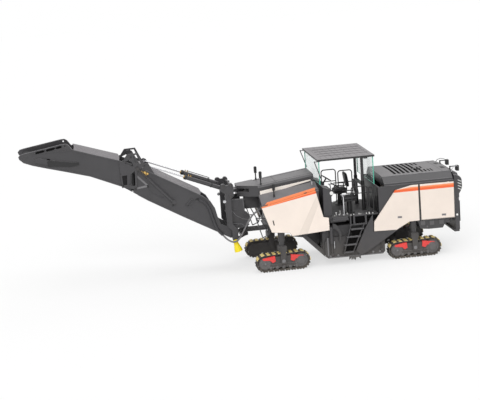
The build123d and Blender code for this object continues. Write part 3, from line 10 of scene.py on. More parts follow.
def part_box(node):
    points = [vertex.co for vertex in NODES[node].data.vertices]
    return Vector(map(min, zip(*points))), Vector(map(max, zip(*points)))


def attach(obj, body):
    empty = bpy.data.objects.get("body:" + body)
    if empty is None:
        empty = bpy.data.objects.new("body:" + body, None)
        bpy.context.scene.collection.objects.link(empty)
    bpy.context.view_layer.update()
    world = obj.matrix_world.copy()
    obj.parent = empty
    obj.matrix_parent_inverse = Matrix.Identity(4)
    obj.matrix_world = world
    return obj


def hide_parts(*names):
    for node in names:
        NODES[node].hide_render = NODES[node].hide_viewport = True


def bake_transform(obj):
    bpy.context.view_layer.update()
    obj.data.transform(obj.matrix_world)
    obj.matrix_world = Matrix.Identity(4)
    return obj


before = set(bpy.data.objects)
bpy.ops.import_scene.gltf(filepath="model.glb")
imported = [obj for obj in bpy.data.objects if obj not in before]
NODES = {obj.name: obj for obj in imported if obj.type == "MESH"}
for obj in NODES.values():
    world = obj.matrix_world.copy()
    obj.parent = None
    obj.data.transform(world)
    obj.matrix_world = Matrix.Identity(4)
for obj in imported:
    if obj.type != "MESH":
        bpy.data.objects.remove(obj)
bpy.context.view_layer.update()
SIDES = (("left", 1), ("right", -1))
SIGNS = (1, -1)

# ---- materials
DARK = (0.048, 0.047, 0.051)
# painted highlight: the lighter grey that faces looking up take in place of the sky's sheen
TOP_LIGHT_GREY = (0.205, 0.198, 0.205)
CREAM = (0.88, 0.775, 0.69)
CREAM_SHADE = (0.79, 0.695, 0.615)
ORANGE = (0.84, 0.125, 0.025)
# painted highlight: the lighter orange along the top of the stripes and rails
ORANGE_HIGHLIGHT = (0.9, 0.26, 0.09)
ROAD_DUST = (0.36, 0.31, 0.25)


def feed(tree, node, values):
    """Gives a node its inputs: a socket is linked, a number or a colour is set."""
    for key, value in dict(values).items():
        socket = node.inputs[key]
        if isinstance(value, bpy.types.NodeSocket):
            tree.links.new(value, socket)
        else:
            socket.default_value = (*value, 1) if socket.type == "RGBA" else value


def add(tree, kind, values=(), **settings):
    node = tree.nodes.new("ShaderNode" + kind)
    for key, value in settings.items():
        setattr(node, key, value)
    feed(tree, node, values)
    return node


def new_material(name):
    """A material with one principled shader: the material, its tree, the shader and its coordinates."""
    material = bpy.data.materials.new(name)
    material.use_nodes = True
    tree = material.node_tree
    tree.nodes.clear()
    shader = add(tree, "BsdfPrincipled")
    add(tree, "OutputMaterial", {"Surface": shader.outputs["BSDF"]})
    return material, tree, shader, add(tree, "TexCoord")


def find(tree, kind):
    return next(node for node in tree.nodes if node.type == kind)


def noise(tree, coords, scale, detail=4.0, roughness=0.55, stretch=None):
    """The value of a noise texture in the object's own coordinates."""
    source = coords.outputs["Object"]
    if stretch:
        source = add(tree, "Mapping", {"Scale": stretch, "Vector": source}).outputs["Vector"]
    values = {"Scale": scale, "Detail": detail, "Roughness": roughness, "Vector": source}
    return add(tree, "TexNoise", values).outputs["Fac"]


def ramp(tree, source, low, high, colours):
    """A colour ramp between two values."""
    node = add(tree, "ValToRGB", {"Fac": source})
    for element, position, colour in zip(node.color_ramp.elements, (low, high), colours):
        element.position = position
        element.color = (*colour, 1)
    return node.outputs["Color"]


def mix(tree, factor, a, b):
    """Colour a where the factor is 0, b where it is 1."""
    return add(tree, "Mix", {0: factor, 6: a, 7: b}, data_type="RGBA").outputs[2]


def math(tree, kind, *values, clamp=False):
    return add(tree, "Math", enumerate(values), operation=kind, use_clamp=clamp).outputs[0]


def axes(tree, coords, kind="Object"):
    """The x, y, z outputs of the object's coordinates, or of its normals."""
    return add(tree, "SeparateXYZ", {0: coords.outputs[kind]}).outputs


def ranged(tree, value, **limits):
    """A value mapped from one range to another: from_min, from_max, to_min, to_max."""
    named = {key.replace("_", " ").title(): limit for key, limit in limits.items()}
    return add(tree, "MapRange", {"Value": value, **named}).outputs["Result"]


def bump(tree, shader, height, strength, distance=0.002):
    node = add(tree, "Bump", {"Strength": strength, "Distance": distance, "Height": height})
    feed(tree, shader, {"Normal": node.outputs["Normal"]})


def scaled(colour, share):
    return tuple(min(1.0, c * share) for c in colour)


def tones(colour, spread):
    """A darker and a lighter tone of a colour."""
    return scaled(colour, 1 - spread), scaled(colour, 1 + spread)


def dusty(tree, coords, colour, amount):
    """Adds a thin film of road dust, thicker low on the machine, in patches."""
    height = math(tree, "MULTIPLY_ADD", axes(tree, coords)["Z"], -0.55, 0.75)
    patches = math(tree, "MULTIPLY", noise(tree, coords, 2.6, 6.0, 0.65), amount)
    factor = math(tree, "MULTIPLY", math(tree, "MAXIMUM", height, 0.12), patches, clamp=True)
    return mix(tree, factor, colour, ROAD_DUST)


def painted_top_light(tree, coords, colour, top_light_colour):
    """Lightens the faces that look up, in patches: painted top light that stands in for the white sky's sheen
    on up-facing paint.
    """
    share = ranged(tree, axes(tree, coords, "Normal")["Z"], from_min=0.72, from_max=0.97)
    patches = math(tree, "MULTIPLY_ADD", noise(tree, coords, 3.1, 6.0, 0.6), 0.5, 0.72)
    return mix(tree, math(tree, "MULTIPLY", share, patches, clamp=True), colour, top_light_colour)


def paint(name, colour, roughness, spread, dust, grain=0.05, coat=0.0, metallic=0.0, top_light_colour=None, shine=0.5):
    """Machine paint: broad tone changes, orange-peel bump, a little dust, and painted top light on up-facing
    faces where a top colour is given.
    """
    material, tree, shader, coords = new_material(name)
    tone = ramp(tree, noise(tree, coords, 1.7, 5.0), 0.35, 0.68, tones(colour, spread))
    if top_light_colour:
        tone = painted_top_light(tree, coords, tone, top_light_colour)
    if dust:
        tone = dusty(tree, coords, tone, dust)
    rough = ranged(tree, noise(tree, coords, 9.0, 5.0),
                   to_min=max(0.05, roughness - 0.07), to_max=roughness + 0.09)
    feed(tree, shader, {"Base Color": tone, "Roughness": rough, "Metallic": metallic,
        "Specular IOR Level": shine, "Coat Weight": coat, "Coat Roughness": 0.25})
    bump(tree, shader, noise(tree, coords, 260.0, 2.0), grain)
    return material


def banded_paint(name, base, bands):
    """Paint with sharp-edged bands: each is a colour and the half planes a*x + b*z > c that bound it."""
    material = paint(name, base, 0.34, 0.03, 0.16, 0.04, coat=0.25)
    tree = material.node_tree
    shader, coords = find(tree, "BSDF_PRINCIPLED"), find(tree, "TEX_COORD")
    place = axes(tree, coords)
    colour = shader.inputs["Base Color"].links[0].from_socket
    for tone, planes in bands:
        inside = None
        for a, b, c in planes:
            across, up = math(tree, "MULTIPLY", place["X"], a), math(tree, "MULTIPLY", place["Z"], b)
            side = math(tree, "GREATER_THAN", math(tree, "ADD", across, up), c)
            inside = side if inside is None else math(tree, "MULTIPLY", inside, side)
        tinted = ramp(tree, noise(tree, coords, 2.0, 4.0), 0.35, 0.68, tones(tone, 0.04))
        colour = mix(tree, inside, colour, tinted)
    feed(tree, shader, {"Base Color": colour})
    return material


def above(start, end, drop=0.0):
    """The half plane above the line through two x, z points, lowered by drop."""
    (x0, z0), (x1, z1) = start, end
    slope = (z1 - z0) / (x1 - x0)
    return -slope, 1.0, z0 - slope * x0 - drop


def below(start, end):
    a, b, c = above(start, end)
    return -a, -b, -c


def metal(name, colour, roughness, streak=(1, 1, 1), spread=0.1, grain=0.05):
    """Bare metal, with its grain along the streak."""
    material, tree, shader, coords = new_material(name)
    tone = ramp(tree, noise(tree, coords, 6.0, 6.0, 0.6, streak), 0.3, 0.7, tones(colour, spread))
    rough = ranged(tree, noise(tree, coords, 14.0, 6.0),
                   to_min=max(0.04, roughness - 0.08), to_max=roughness + 0.12)
    feed(tree, shader, {"Base Color": tone, "Roughness": rough, "Metallic": 1.0})
    bump(tree, shader, noise(tree, coords, 90.0, 3.0, 0.5, streak), grain)
    return material


def rubber(name, colour, roughness, scale, strength, pattern=None):
    """Rubber or vinyl with a fine grain, and ribs along the axis that pattern names."""
    material, tree, shader, coords = new_material(name)
    tone = ramp(tree, noise(tree, coords, 5.0, 7.0, 0.65), 0.3, 0.72, tones(colour, 0.22))
    feed(tree, shader, {"Base Color": tone, "Roughness": roughness})
    height = noise(tree, coords, scale, 3.0)
    if pattern:
        values = {"Scale": 3.2, "Distortion": 0.0, "Vector": coords.outputs["Object"]}
        wave = add(tree, "TexWave", values, bands_direction=pattern)
        height = math(tree, "ADD", height, wave.outputs["Fac"])
    bump(tree, shader, height, strength, 0.004)
    return material


def glass(name, tint, edge_tint):
    """A thin tinted pane: clear face on, stronger colour at a glancing angle."""
    material, tree, shader, coords = new_material(name)
    smear = ramp(tree, noise(tree, coords, 3.0, 5.0), 0.3, 0.75, (tint, scaled(tint, 1.06)))
    clear = add(tree, "BsdfTransparent", {"Color": smear})
    feed(tree, shader, {"Roughness": 0.04, "Base Color": edge_tint})
    weight = add(tree, "Fresnel", {"IOR": 1.12})
    blend = add(tree, "MixShader", {"Fac": math(tree, "MULTIPLY", weight.outputs[0], 0.3),
        1: clear.outputs[0], 2: shader.outputs[0]})
    feed(tree, find(tree, "OUTPUT_MATERIAL"), {"Surface": blend.outputs[0]})
    return material


# dark and roof_paint carry painted top light on their up-facing faces
dark = paint("dark_grey_paint", DARK, 0.38, 0.08, 0.22, top_light_colour=TOP_LIGHT_GREY)
# darker copy of the dark paint for the low frame and the platform floor: painted shade, with more real road
# dust and less painted top light
dark_shaded_dusty = paint("dark_grey_paint_shaded_dusty", scaled(DARK, 0.8), 0.5, 0.14, 0.35, 0.12, top_light_colour=scaled(TOP_LIGHT_GREY, 0.45))
# lighter grey for beads, struts, seams and trims: painted highlights along edges; on treads, runners and caps
# also real wear
worn_and_highlight_grey = paint("worn_edge_and_highlight_paint", (0.175, 0.172, 0.18), 0.35, 0.15, 0.2)
black = paint("black_paint", (0.014, 0.014, 0.015), 0.36, 0.2, 0.08)
red = paint("red_paint", (0.79, 0.035, 0.033), 0.36, 0.05, 0.25)
light_grey = paint("light_grey_paint", (0.2, 0.19, 0.2), 0.5, 0.05, 0.2)
roof_paint = paint("roof_paint", (0.06, 0.058, 0.062), 0.5, 0.08, 0.15, 0.2, top_light_colour=(0.275, 0.262, 0.27))
yellow = paint("yellow_plastic", (0.9, 0.72, 0.012), 0.38, 0.05, 0.1, 0.1)
amber = paint("amber_pad", (0.8, 0.62, 0.21), 0.5, 0.12, 0.5, 0.3)
steel_dark = paint("track_steel", (0.045, 0.043, 0.045), 0.5, 0.25, 0.9, 0.3, metallic=0.25)
tool_steel = metal("worn_steel", (0.22, 0.21, 0.2), 0.42, (1, 1, 30), 0.12, 0.08)
chrome = metal("hard_chrome", (0.78, 0.78, 0.8), 0.14, spread=0.05, grain=0.02)
bright_steel = metal("bright_steel", (0.62, 0.62, 0.64), 0.26)
brass = metal("brass_fitting", (0.7, 0.46, 0.16), 0.28)
belt = rubber("belt_rubber", (0.035, 0.034, 0.036), 0.75, 60.0, 0.4, "X")
hose_grey = rubber("hose_grey", (0.155, 0.15, 0.155), 0.45, 300.0, 0.15)
hose_black = rubber("hose_black", (0.04, 0.039, 0.043), 0.38, 300.0, 0.15)
pane = glass("canopy_glass", (0.955, 0.975, 0.972), (0.62, 0.72, 0.7))
pane_edge = paint("glass_edge", (0.05, 0.42, 0.29), 0.15, 0.1, 0.0, 0.0, coat=0.6)
lens = paint("lamp_lens", (0.8, 0.8, 0.78), 0.12, 0.04, 0.0, 0.3, coat=0.8)
vinyl = rubber("seat_vinyl", (0.028, 0.028, 0.03), 0.5, 140.0, 0.35)
grille = paint("grille_black", (0.008, 0.008, 0.009), 0.7, 0.2, 0.1)
# near-black sheets for openings and recesses: painted shade where the hollows are dark
shade_black = paint("opening_shade", (0.003, 0.003, 0.0035), 0.9, 0.3, 0.05, shine=0.08)
shadow_grey = paint("shadow_grey", (0.016, 0.016, 0.017), 0.7, 0.2, 0.1, shine=0.2)
dark_mid = paint("wheel_grey", (0.095, 0.093, 0.098), 0.42, 0.12, 0.3)
# the lower run's pads in near black: painted shade under the track; the upper run's pads are amber
shaded_sole = rubber("track_sole", (0.016, 0.016, 0.017), 0.75, 40.0, 0.4)
# lighter copy of the cream: painted light that lifts the hood strip out of its recess's shade
lit_strip_cream = paint("hood_strip_cream", (0.95, 0.88, 0.8), 0.34, 0.03, 0.06, 0.04, coat=0.25)
# orange_rail: its lighter orange is a painted highlight on the rail
orange_rail = paint("orange_rail", ORANGE_HIGHLIGHT, 0.34, 0.04, 0.1, 0.04, coat=0.25)

# the lighter orange bands along the stripes' top edge are painted highlights
FRONT_TOP = ((-0.37, 2.12), (-2.12, 2.49))
front_bands = banded_paint("cream_front", CREAM, [
    (CREAM_SHADE, [above((-1.83, 1.22), (-2.16, 1.96)), below((-1.54, 1.2), (-1.98, 2.02))]),
    (ORANGE, [above((-0.37, 2.085), (-2.12, 2.395))]),
    (ORANGE_HIGHLIGHT, [above(*FRONT_TOP, 0.035)]),
    (DARK, [above(*FRONT_TOP, -0.002)]),
])
rear_bands = banded_paint("cream_rear", scaled(CREAM, 0.94), [
    (ORANGE, [(0, 1, 2.168), (0, -1, -2.25)]),
    (ORANGE_HIGHLIGHT, [(0, 1, 2.25), (0, -1, -2.3), below((-4.55, 2.235), (-5.3, 2.31))]),
    (DARK, [(0, 1, 2.3615)]),
])
# what is not named here is dark
LOOKS = (
    (dark_shaded_dusty, "main_frame milling_housing platform_floor leg_guides"),
    (light_grey, "cover_rear cover_front"),
    (black, "railings canopy_sleeves lamps"),
    (belt, "belt_rear belt_front"),
    (grille, "engine_block"), (tool_steel, "milling_drum"), (roof_paint, "canopy"), (pane, "canopy_glass"),
    (chrome, "lift_rods"), (steel_dark, "fold_rods"), (hose_black, "conveyor_hose"), (hose_grey, "slew_hose"),
    (yellow, "hanging_nozzle"), (vinyl, "seats"),
)
SIDE_LOOKS = (
    (front_bands, "front_flap"), (rear_bands, "mid_flap rear_flap"),
    (steel_dark, "track_chain_front track_chain_rear"),
    (dark_shaded_dusty, "side_plate track_frame_front track_frame_rear"),
)


def dress(node, material):
    mesh = NODES[node].data
    mesh.materials.clear()
    mesh.materials.append(material)


for node in NODES:
    dress(node, dark)
for material, nodes in LOOKS:
    for node in nodes.split():
        dress(node, material)
for material, nodes in SIDE_LOOKS:
    for node in nodes.split():
        for side, sign in SIDES:
            dress(f"{node}_{side}", material)


# ---- mesh making
TIP = 0.001


def boss(foot, shoulder, face, rise, height):
    """The profile of a round boss: the radii of its wall and face, the wall's height and the whole height."""
    return [(0, foot), (rise, shoulder), (height, face), (height, TIP)]


def stud(radius, rise, height):
    """The profile of a bolt head or a plain disc."""
    return [(0, radius), (rise, radius), (height, TIP)]


def circle(centre, across, other, radius, sides):
    """Points round a centre, in the plane of two unit vectors."""
    turns = (2 * pi * i / sides for i in range(sides))
    return [centre + (across * cos(turn) + other * sin(turn)) * radius for turn in turns]


def mirrored(*lines):
    """Lines of x, y, z points on the left side, and the same lines on the right."""
    return [[(x, sign * y, z) for x, y, z in line] for sign in SIGNS for line in lines]


def at_width(y, *lines):
    """Lines of x, z points, drawn at a distance from the middle."""
    return [[(x, y, z) for x, z in line] for line in lines]


SHAPES = []


class Shape:
    """Collects boxes, plates, bars and turned forms into one mesh, in metres in the part's frame.

    What it is given is what piece takes, and it becomes that piece at the end of the script.
    """

    def __init__(self, *look, **more):
        self.bm = bmesh.new()
        if look:
            SHAPES.append((self, look, more))

    def prism(self, rings):
        """Joins rings of equal count, in order, with caps."""
        loops = [[self.bm.verts.new(p) for p in ring] for ring in rings]
        count = len(loops[0])
        for first, second in zip(loops, loops[1:]):
            for i in range(count):
                self.bm.faces.new((first[i], first[(i + 1) % count], second[(i + 1) % count], second[i]))
        self.bm.faces.new(list(reversed(loops[0])))
        self.bm.faces.new(loops[-1])

    def box(self, x, y, z):
        (x0, x1), (y0, y1), (z0, z1) = sorted(x), sorted(y), sorted(z)
        self.prism([[(x0, y0, h), (x1, y0, h), (x1, y1, h), (x0, y1, h)] for h in (z0, z1)])

    def boxes(self, x, y, z):
        """A box on each side, y measured outward from the middle."""
        for sign in SIGNS:
            self.box(x, (sign * y[0], sign * y[1]), z)

    def plate(self, outline, y):
        """An x, z outline between two y values."""
        self.prism([[(x, h, z) for x, z in outline] for h in sorted(y)])

    def plates(self, y, *outlines):
        """Plates on both sides, y measured outward from the middle."""
        for sign in SIGNS:
            for outline in outlines:
                self.plate(outline, (sign * y[0], sign * y[1]))

    def bar(self, start, end, radius, sides, end_radius=None):
        start, end = Vector(start), Vector(end)
        self.turned(start, end - start, [(0, radius), ((end - start).length, end_radius or radius)], sides)

    def turned(self, origin, axis, profile, sides):
        """A turned form: profile is (distance along axis, radius) from one end to the other."""
        origin, axis = Vector(origin), Vector(axis).normalized()
        across = axis.orthogonal().normalized()
        other = axis.cross(across)
        self.prism([circle(origin + axis * d, across, other, r, sides) for d, r in profile])

    def bosses(self, y, profile, sides, *places):
        """The same turned form at x, z places on both sides, facing outward."""
        for sign in SIGNS:
            for x, z in places:
                self.turned((x, sign * y, z), (0, sign, 0), profile, sides)

    def tube(self, points, radius, sides):
        """A tube along points, mitred at its corners."""
        points = [Vector(p) for p in points]
        rings = []
        normal = None
        for i, p in enumerate(points):
            before = (p - points[i - 1]).normalized() if i else None
            after = (points[i + 1] - p).normalized() if i + 1 < len(points) else None
            way = (before + after).normalized() if before and after else (before or after)
            if normal is None:
                normal = way.orthogonal().normalized()
            else:
                normal = (normal - way * normal.dot(way)).normalized()
            other = way.cross(normal)
            stretch = 1.0 / max(0.5, way.dot(before)) if before and after else 1.0
            rings.append(circle(p, normal, other, radius * stretch, sides))
        self.prism(rings)

    def piece(self, name, body, material, slot="dark_paint", bevel=0.0, replaces=(), smooth=32):
        mesh = bpy.data.meshes.new(name)
        bmesh.ops.recalc_face_normals(self.bm, faces=self.bm.faces)
        self.bm.to_mesh(mesh)
        self.bm.free()
        obj = bpy.data.objects.new(name, mesh)
        bpy.context.scene.collection.objects.link(obj)
        mesh.materials.append(material)
        for polygon in mesh.polygons:
            polygon.use_smooth = True
        mesh.set_sharp_from_angle(angle=radians(smooth))
        if bevel:
            modifier = obj.modifiers.new("edges", "BEVEL")
            modifier.width = bevel
            modifier.segments = 2
            modifier.limit_method = "ANGLE"
            modifier.angle_limit = radians(35)
        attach(obj, body)
        if replaces:
            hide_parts(*replaces)
        return obj


def tube_run(name, body, lines, radius, material, slot="dark_paint", sides=8):
    """One piece of round lines, such as beads, seams and rails."""
    shape = Shape(name, body, material, slot, smooth=60)
    for line in lines:
        shape.tube(line, radius, sides)


# ---- the free hose
HOSE_RADIUS = 0.028
FREE_ROUTE = (
    (0.815, 0.574, 1.213), (0.752, 0.59, 1.128), (0.655, 0.668, 1.04), (0.535, 0.735, 0.985),
    (0.405, 0.772, 1.01), (0.298, 0.792, 1.12), (0.205, 0.803, 1.275), (0.11, 0.808, 1.44),
    (0.01, 0.8, 1.61), (-0.1, 0.785, 1.765), (-0.222, 0.77, 1.872), (-0.352, 0.762, 1.94),
)


def nurbs_mesh(points, radius):
    """The mesh of a round tube along a smooth curve, or of the bare curve where the radius is 0."""
    data = bpy.data.curves.new("route", "CURVE")
    data.dimensions = "3D"
    data.bevel_depth = radius
    data.bevel_resolution = 4
    data.resolution_u = 10
    data.use_fill_caps = True
    spline = data.splines.new("NURBS")
    spline.points.add(len(points) - 1)
    for point, place in zip(spline.points, points):
        point.co = (*place, 1)
    spline.order_u = 3
    spline.use_endpoint_u = True
    curve = bpy.data.objects.new("route", data)
    bpy.context.scene.collection.objects.link(curve)
    bpy.context.view_layer.update()
    mesh = bpy.data.meshes.new_from_object(curve.evaluated_get(bpy.context.evaluated_depsgraph_get()))
    bpy.data.objects.remove(curve)
    return mesh


hose_path = [tuple(vertex.co) for vertex in nurbs_mesh(FREE_ROUTE, 0.0).vertices]
slew_hose = bpy.data.objects.new("slew_hose_line", nurbs_mesh(FREE_ROUTE, HOSE_RADIUS))
bpy.context.scene.collection.objects.link(slew_hose)
for polygon in slew_hose.data.polygons:
    polygon.use_smooth = True
slew_hose.data.materials.clear()
slew_hose.data.materials.append(hose_grey)
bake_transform(slew_hose)
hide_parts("slew_hose")

# ---- tracks
SHOE_HEIGHT = 0.034
IDLER_RADIUS = 0.251
SPROCKET_RADIUS = 0.271
IDLER_REACH = 0.59
SPROCKET_REACH = 0.57
SHOE_COUNT = 22
SHOE_HALF_WIDTH = 0.15
PAD_HALF_WIDTH = 0.146
UPPER_RUN = 0.3
AXLES = (("front", -0.97), ("rear", -5.26))
TRACK_Y = 1.075
CHAIN_LENGTH = 2 * (IDLER_REACH + SPROCKET_REACH) + pi * (IDLER_RADIUS + SPROCKET_RADIUS)
PITCH = CHAIN_LENGTH / SHOE_COUNT


def chain_place(distance):
    """Where a point that far round the chain is: x, z and its outward direction in radians."""
    run = IDLER_REACH + SPROCKET_REACH
    slope = atan2(2 * (SPROCKET_RADIUS - IDLER_RADIUS), run)
    if distance < run:
        return IDLER_REACH - distance, SHOE_HEIGHT, -pi / 2
    distance -= run
    if distance < pi * SPROCKET_RADIUS:
        turn = distance / SPROCKET_RADIUS
        height = SHOE_HEIGHT + SPROCKET_RADIUS
        return (-SPROCKET_REACH - SPROCKET_RADIUS * sin(turn), height - SPROCKET_RADIUS * cos(turn),
                1.5 * pi - turn)
    distance -= pi * SPROCKET_RADIUS
    if distance < run:
        return (distance - SPROCKET_REACH, SHOE_HEIGHT + 2 * SPROCKET_RADIUS - distance * sin(slope),
                pi / 2 - slope)
    turn = (distance - run) / IDLER_RADIUS
    height = SHOE_HEIGHT + IDLER_RADIUS
    return IDLER_REACH + IDLER_RADIUS * sin(turn), height + IDLER_RADIUS * cos(turn), pi / 2 - turn


def chain_pieces(axle_x, y, part):
    """One track's links ('steel'), the amber pads of its upper run ('pads'), or the lower run's pads in near
    black ('soles'): painted shade under the track.
    """
    shape = Shape()
    for shoe in range(SHOE_COUNT):
        x, z, out = chain_place(shoe * PITCH)

        def at(length, depth, x=x, z=z, out=out):
            return (axle_x + x + sin(out) * length + cos(out) * depth,
                    z - cos(out) * length + sin(out) * depth)

        if part == "steel":
            shape.plate([at(-0.078, 0.0), at(0.07, 0.0), at(0.078, 0.006), at(0.07, 0.014),
                at(-0.078, 0.014)], (y - SHOE_HALF_WIDTH, y + SHOE_HALF_WIDTH))
            half = PITCH / 2 - 0.004
            for rail in (-0.075, 0.075):
                shape.plate([at(-half, -0.004), at(-half, -0.026), at(-half * 0.5, -0.038),
                    at(half * 0.5, -0.038), at(half, -0.026), at(half, -0.004), at(0.0, 0.0)],
                    (y + rail - 0.022, y + rail + 0.022))
            pin_x, pin_z = at(-PITCH / 2, -0.018)
            shape.bar((pin_x, y - 0.112, pin_z), (pin_x, y + 0.112, pin_z), 0.014, 10)
            for bolt in (-0.105, -0.045, 0.045, 0.105):
                foot, head = at(0.052, 0.012), at(0.052, 0.021)
                shape.bar((foot[0], y + bolt, foot[1]), (head[0], y + bolt, head[1]), 0.011, 6)
        elif part == "pads" and z > UPPER_RUN:
            shape.plate([at(-0.066, 0.014), at(0.04, 0.014), at(0.04, 0.026), at(0.028, 0.032),
                         at(-0.054, 0.032), at(-0.066, 0.026)], (y - PAD_HALF_WIDTH, y + PAD_HALF_WIDTH))
        elif part == "soles" and z <= UPPER_RUN:
            for middle in (-0.045, 0.045):
                shape.plate([at(middle - 0.026, 0.014), at(middle + 0.026, 0.014), at(middle + 0.024, 0.026),
                    at(middle + 0.016, 0.032), at(middle - 0.016, 0.032), at(middle - 0.024, 0.026)],
                    (y - PAD_HALF_WIDTH, y + PAD_HALF_WIDTH))
    return shape


def track_covers(axle_x, y, sign):
    """The two red covers over the track's ends, on its outer face."""
    covers = Shape()
    for front, wheel_x in ((1, axle_x + IDLER_REACH), (-1, axle_x - SPROCKET_REACH)):
        cover_x = wheel_x - front * 0.06
        covers.plate([(cover_x + front * x, z) for x, z in (
            (0.15, 0.425), (0.12, 0.462), (-0.262, 0.515), (-0.28, 0.335), (-0.18, 0.292), (-0.1, 0.372),
            (0.1, 0.392))], (y + sign * 0.02, y + sign * 0.1555))
    return covers


def track_hubs(axle_x, y, sign):
    """Sprocket, idler and roller faces on the track's outer side, with the guard rail over the rollers."""
    hubs = Shape()
    outward = (0, sign, 0)
    hub_x, hub_z = axle_x - SPROCKET_REACH, SHOE_HEIGHT + SPROCKET_RADIUS
    hubs.turned((hub_x, y, hub_z), outward, [(0.12, 0.205), (0.136, 0.205), (0.14, 0.15), (0.162, 0.145),
        (0.168, 0.12), (0.182, 0.112), (0.186, 0.06), (0.186, TIP)], 28)
    hubs.turned((axle_x + IDLER_REACH, y, SHOE_HEIGHT + IDLER_RADIUS), outward,
                [(0.11, 0.185), (0.138, 0.18), (0.142, 0.12), (0.15, 0.07), (0.162, 0.06), (0.164, TIP)], 24)
    for i in range(12):
        x, z = hub_x + 0.176 * cos(2 * pi * i / 12), hub_z + 0.176 * sin(2 * pi * i / 12)
        hubs.bar((x, y + sign * 0.13, z), (x, y + sign * 0.145, z), 0.012, 6)
    for roller_x in (-0.42, -0.21, 0.0, 0.21, 0.42):
        hubs.turned((axle_x + roller_x, y, 0.136), outward,
                    [(0.125, 0.052), (0.14, 0.05), (0.146, 0.026), (0.152, 0.022), (0.152, TIP)], 16)
    hubs.plate([(axle_x - 0.5, 0.235), (axle_x + 0.46, 0.235), (axle_x + 0.46, 0.255), (axle_x - 0.5, 0.255)],
               (y + sign * 0.128, y + sign * 0.146))
    return hubs


def track_caps(axle_x, y, sign):
    """Worn caps of the idler and of the leg's pin."""
    caps = Shape()
    caps.turned((axle_x + IDLER_REACH, y + sign * 0.158, SHOE_HEIGHT + IDLER_RADIUS), (0, sign, 0),
                boss(0.03, 0.028, 0.018, 0.012, 0.016), 16)
    caps.turned((axle_x, y + sign * 0.198, 0.33), (0, sign, 0), boss(0.058, 0.056, 0.04, 0.01, 0.013), 20)
    return caps


for axle, axle_x in AXLES:
    for side, sign in SIDES:
        track = f"{axle}_{side}"
        body = f"track_{track}"
        y = sign * TRACK_Y
        chain_pieces(axle_x, y, "steel").piece(f"chain_links_{track}", body, steel_dark, "track_steel",
                                               replaces=[f"track_chain_{track}"])
        chain_pieces(axle_x, y, "pads").piece(f"chain_pads_{track}", body, amber, "yellow_plastic",
            bevel=0.003)
        chain_pieces(axle_x, y, "soles").piece(f"chain_soles_{track}", body, shaded_sole, "track_steel", bevel=0.003)
        track_covers(axle_x, y, sign).piece(f"track_covers_{track}", body, red, "red_paint", bevel=0.006)
        track_hubs(axle_x, y, sign).piece(f"track_hubs_{track}", body, dark_mid, bevel=0.002)
        track_caps(axle_x, y, sign).piece(f"track_caps_{track}", body, worn_and_highlight_grey, "tool_steel")

# ---- seats
PLATFORM_TOP = 1.5605
SEAT_X = -3.3
SEAT_Y = 0.685
ARM_REACH = 0.245 * 0.97
CUSHION_CELLS = 6
CUSHION_CROWN = 0.35


def cushion(name, centre, size, tilt):
    """A crowned closed cushion: a box of rows whose sides pull in, subdivided."""
    shape = Shape()
    cells = CUSHION_CELLS
    grid = {}
    half = [s / 2 for s in size]
    turn = Matrix.Rotation(tilt, 3, "Y")
    for top in (0, 1):
        for i in range(cells + 1):
            for j in range(cells + 1):
                u, v = 2 * i / cells - 1, 2 * j / cells - 1
                edge = max(abs(u), abs(v))
                swell = (1 - CUSHION_CROWN * edge ** 4) * half[2]
                pinch = 1 - 0.05 * edge ** 6
                seam = 0.9 if (top and j in (2, 4)) else 1.0
                local = Vector((u * half[0] * pinch, v * half[1] * pinch, (swell * seam if top else -swell)))
                grid[top, i, j] = shape.bm.verts.new(Vector(centre) + turn @ local)
    for i in range(cells):
        for j in range(cells):
            shape.bm.faces.new((grid[1, i, j], grid[1, i + 1, j], grid[1, i + 1, j + 1], grid[1, i, j + 1]))
            shape.bm.faces.new((grid[0, i, j], grid[0, i, j + 1], grid[0, i + 1, j + 1], grid[0, i + 1, j]))
    rim = [(i, 0) for i in range(cells)] + [(cells, j) for j in range(cells)] + \
          [(i, cells) for i in range(cells, 0, -1)] + [(0, j) for j in range(cells, 0, -1)]
    for first, second in zip(rim, rim[1:] + rim[:1]):
        shape.bm.faces.new((grid[1, *first], grid[0, *first], grid[0, *second], grid[1, *second]))
    obj = shape.piece(name, "root", vinyl, "seat_vinyl", smooth=80)
    modifier = obj.modifiers.new("round", "SUBSURF")
    modifier.levels = 2
    modifier.render_levels = 2
    return obj


for side, sign in SIDES:
    seat_y = sign * SEAT_Y
    seat = cushion(f"seat_cushion_{side}", (SEAT_X, seat_y, 2.065), (0.47, 0.46, 0.13), 0.03)
    cushion(f"seat_back_{side}", (SEAT_X - 0.225, seat_y, 2.385), (0.5, 0.44, 0.11), radians(-81))
    base = Shape()
    base.box((SEAT_X - 0.21, SEAT_X + 0.21), (seat_y - 0.19, seat_y + 0.19), (1.955, 2.002))
    base.turned((SEAT_X, seat_y, PLATFORM_TOP), (0, 0, 1),
                [(0, 0.17), (0.02, 0.17), (0.03, 0.085), (0.1, 0.075), (0.395, 0.075)], 20)
    for arm_y in (seat_y - ARM_REACH, seat_y + ARM_REACH):
        base.tube([(SEAT_X - 0.19, arm_y, 2.02), (SEAT_X - 0.2, arm_y, 2.22), (SEAT_X + 0.14, arm_y, 2.24)],
                  0.018, 8)
    base.piece(f"seat_base_{side}", "root", black, "black_paint", bevel=0.004)
    if sign > 0:
        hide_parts("seats")

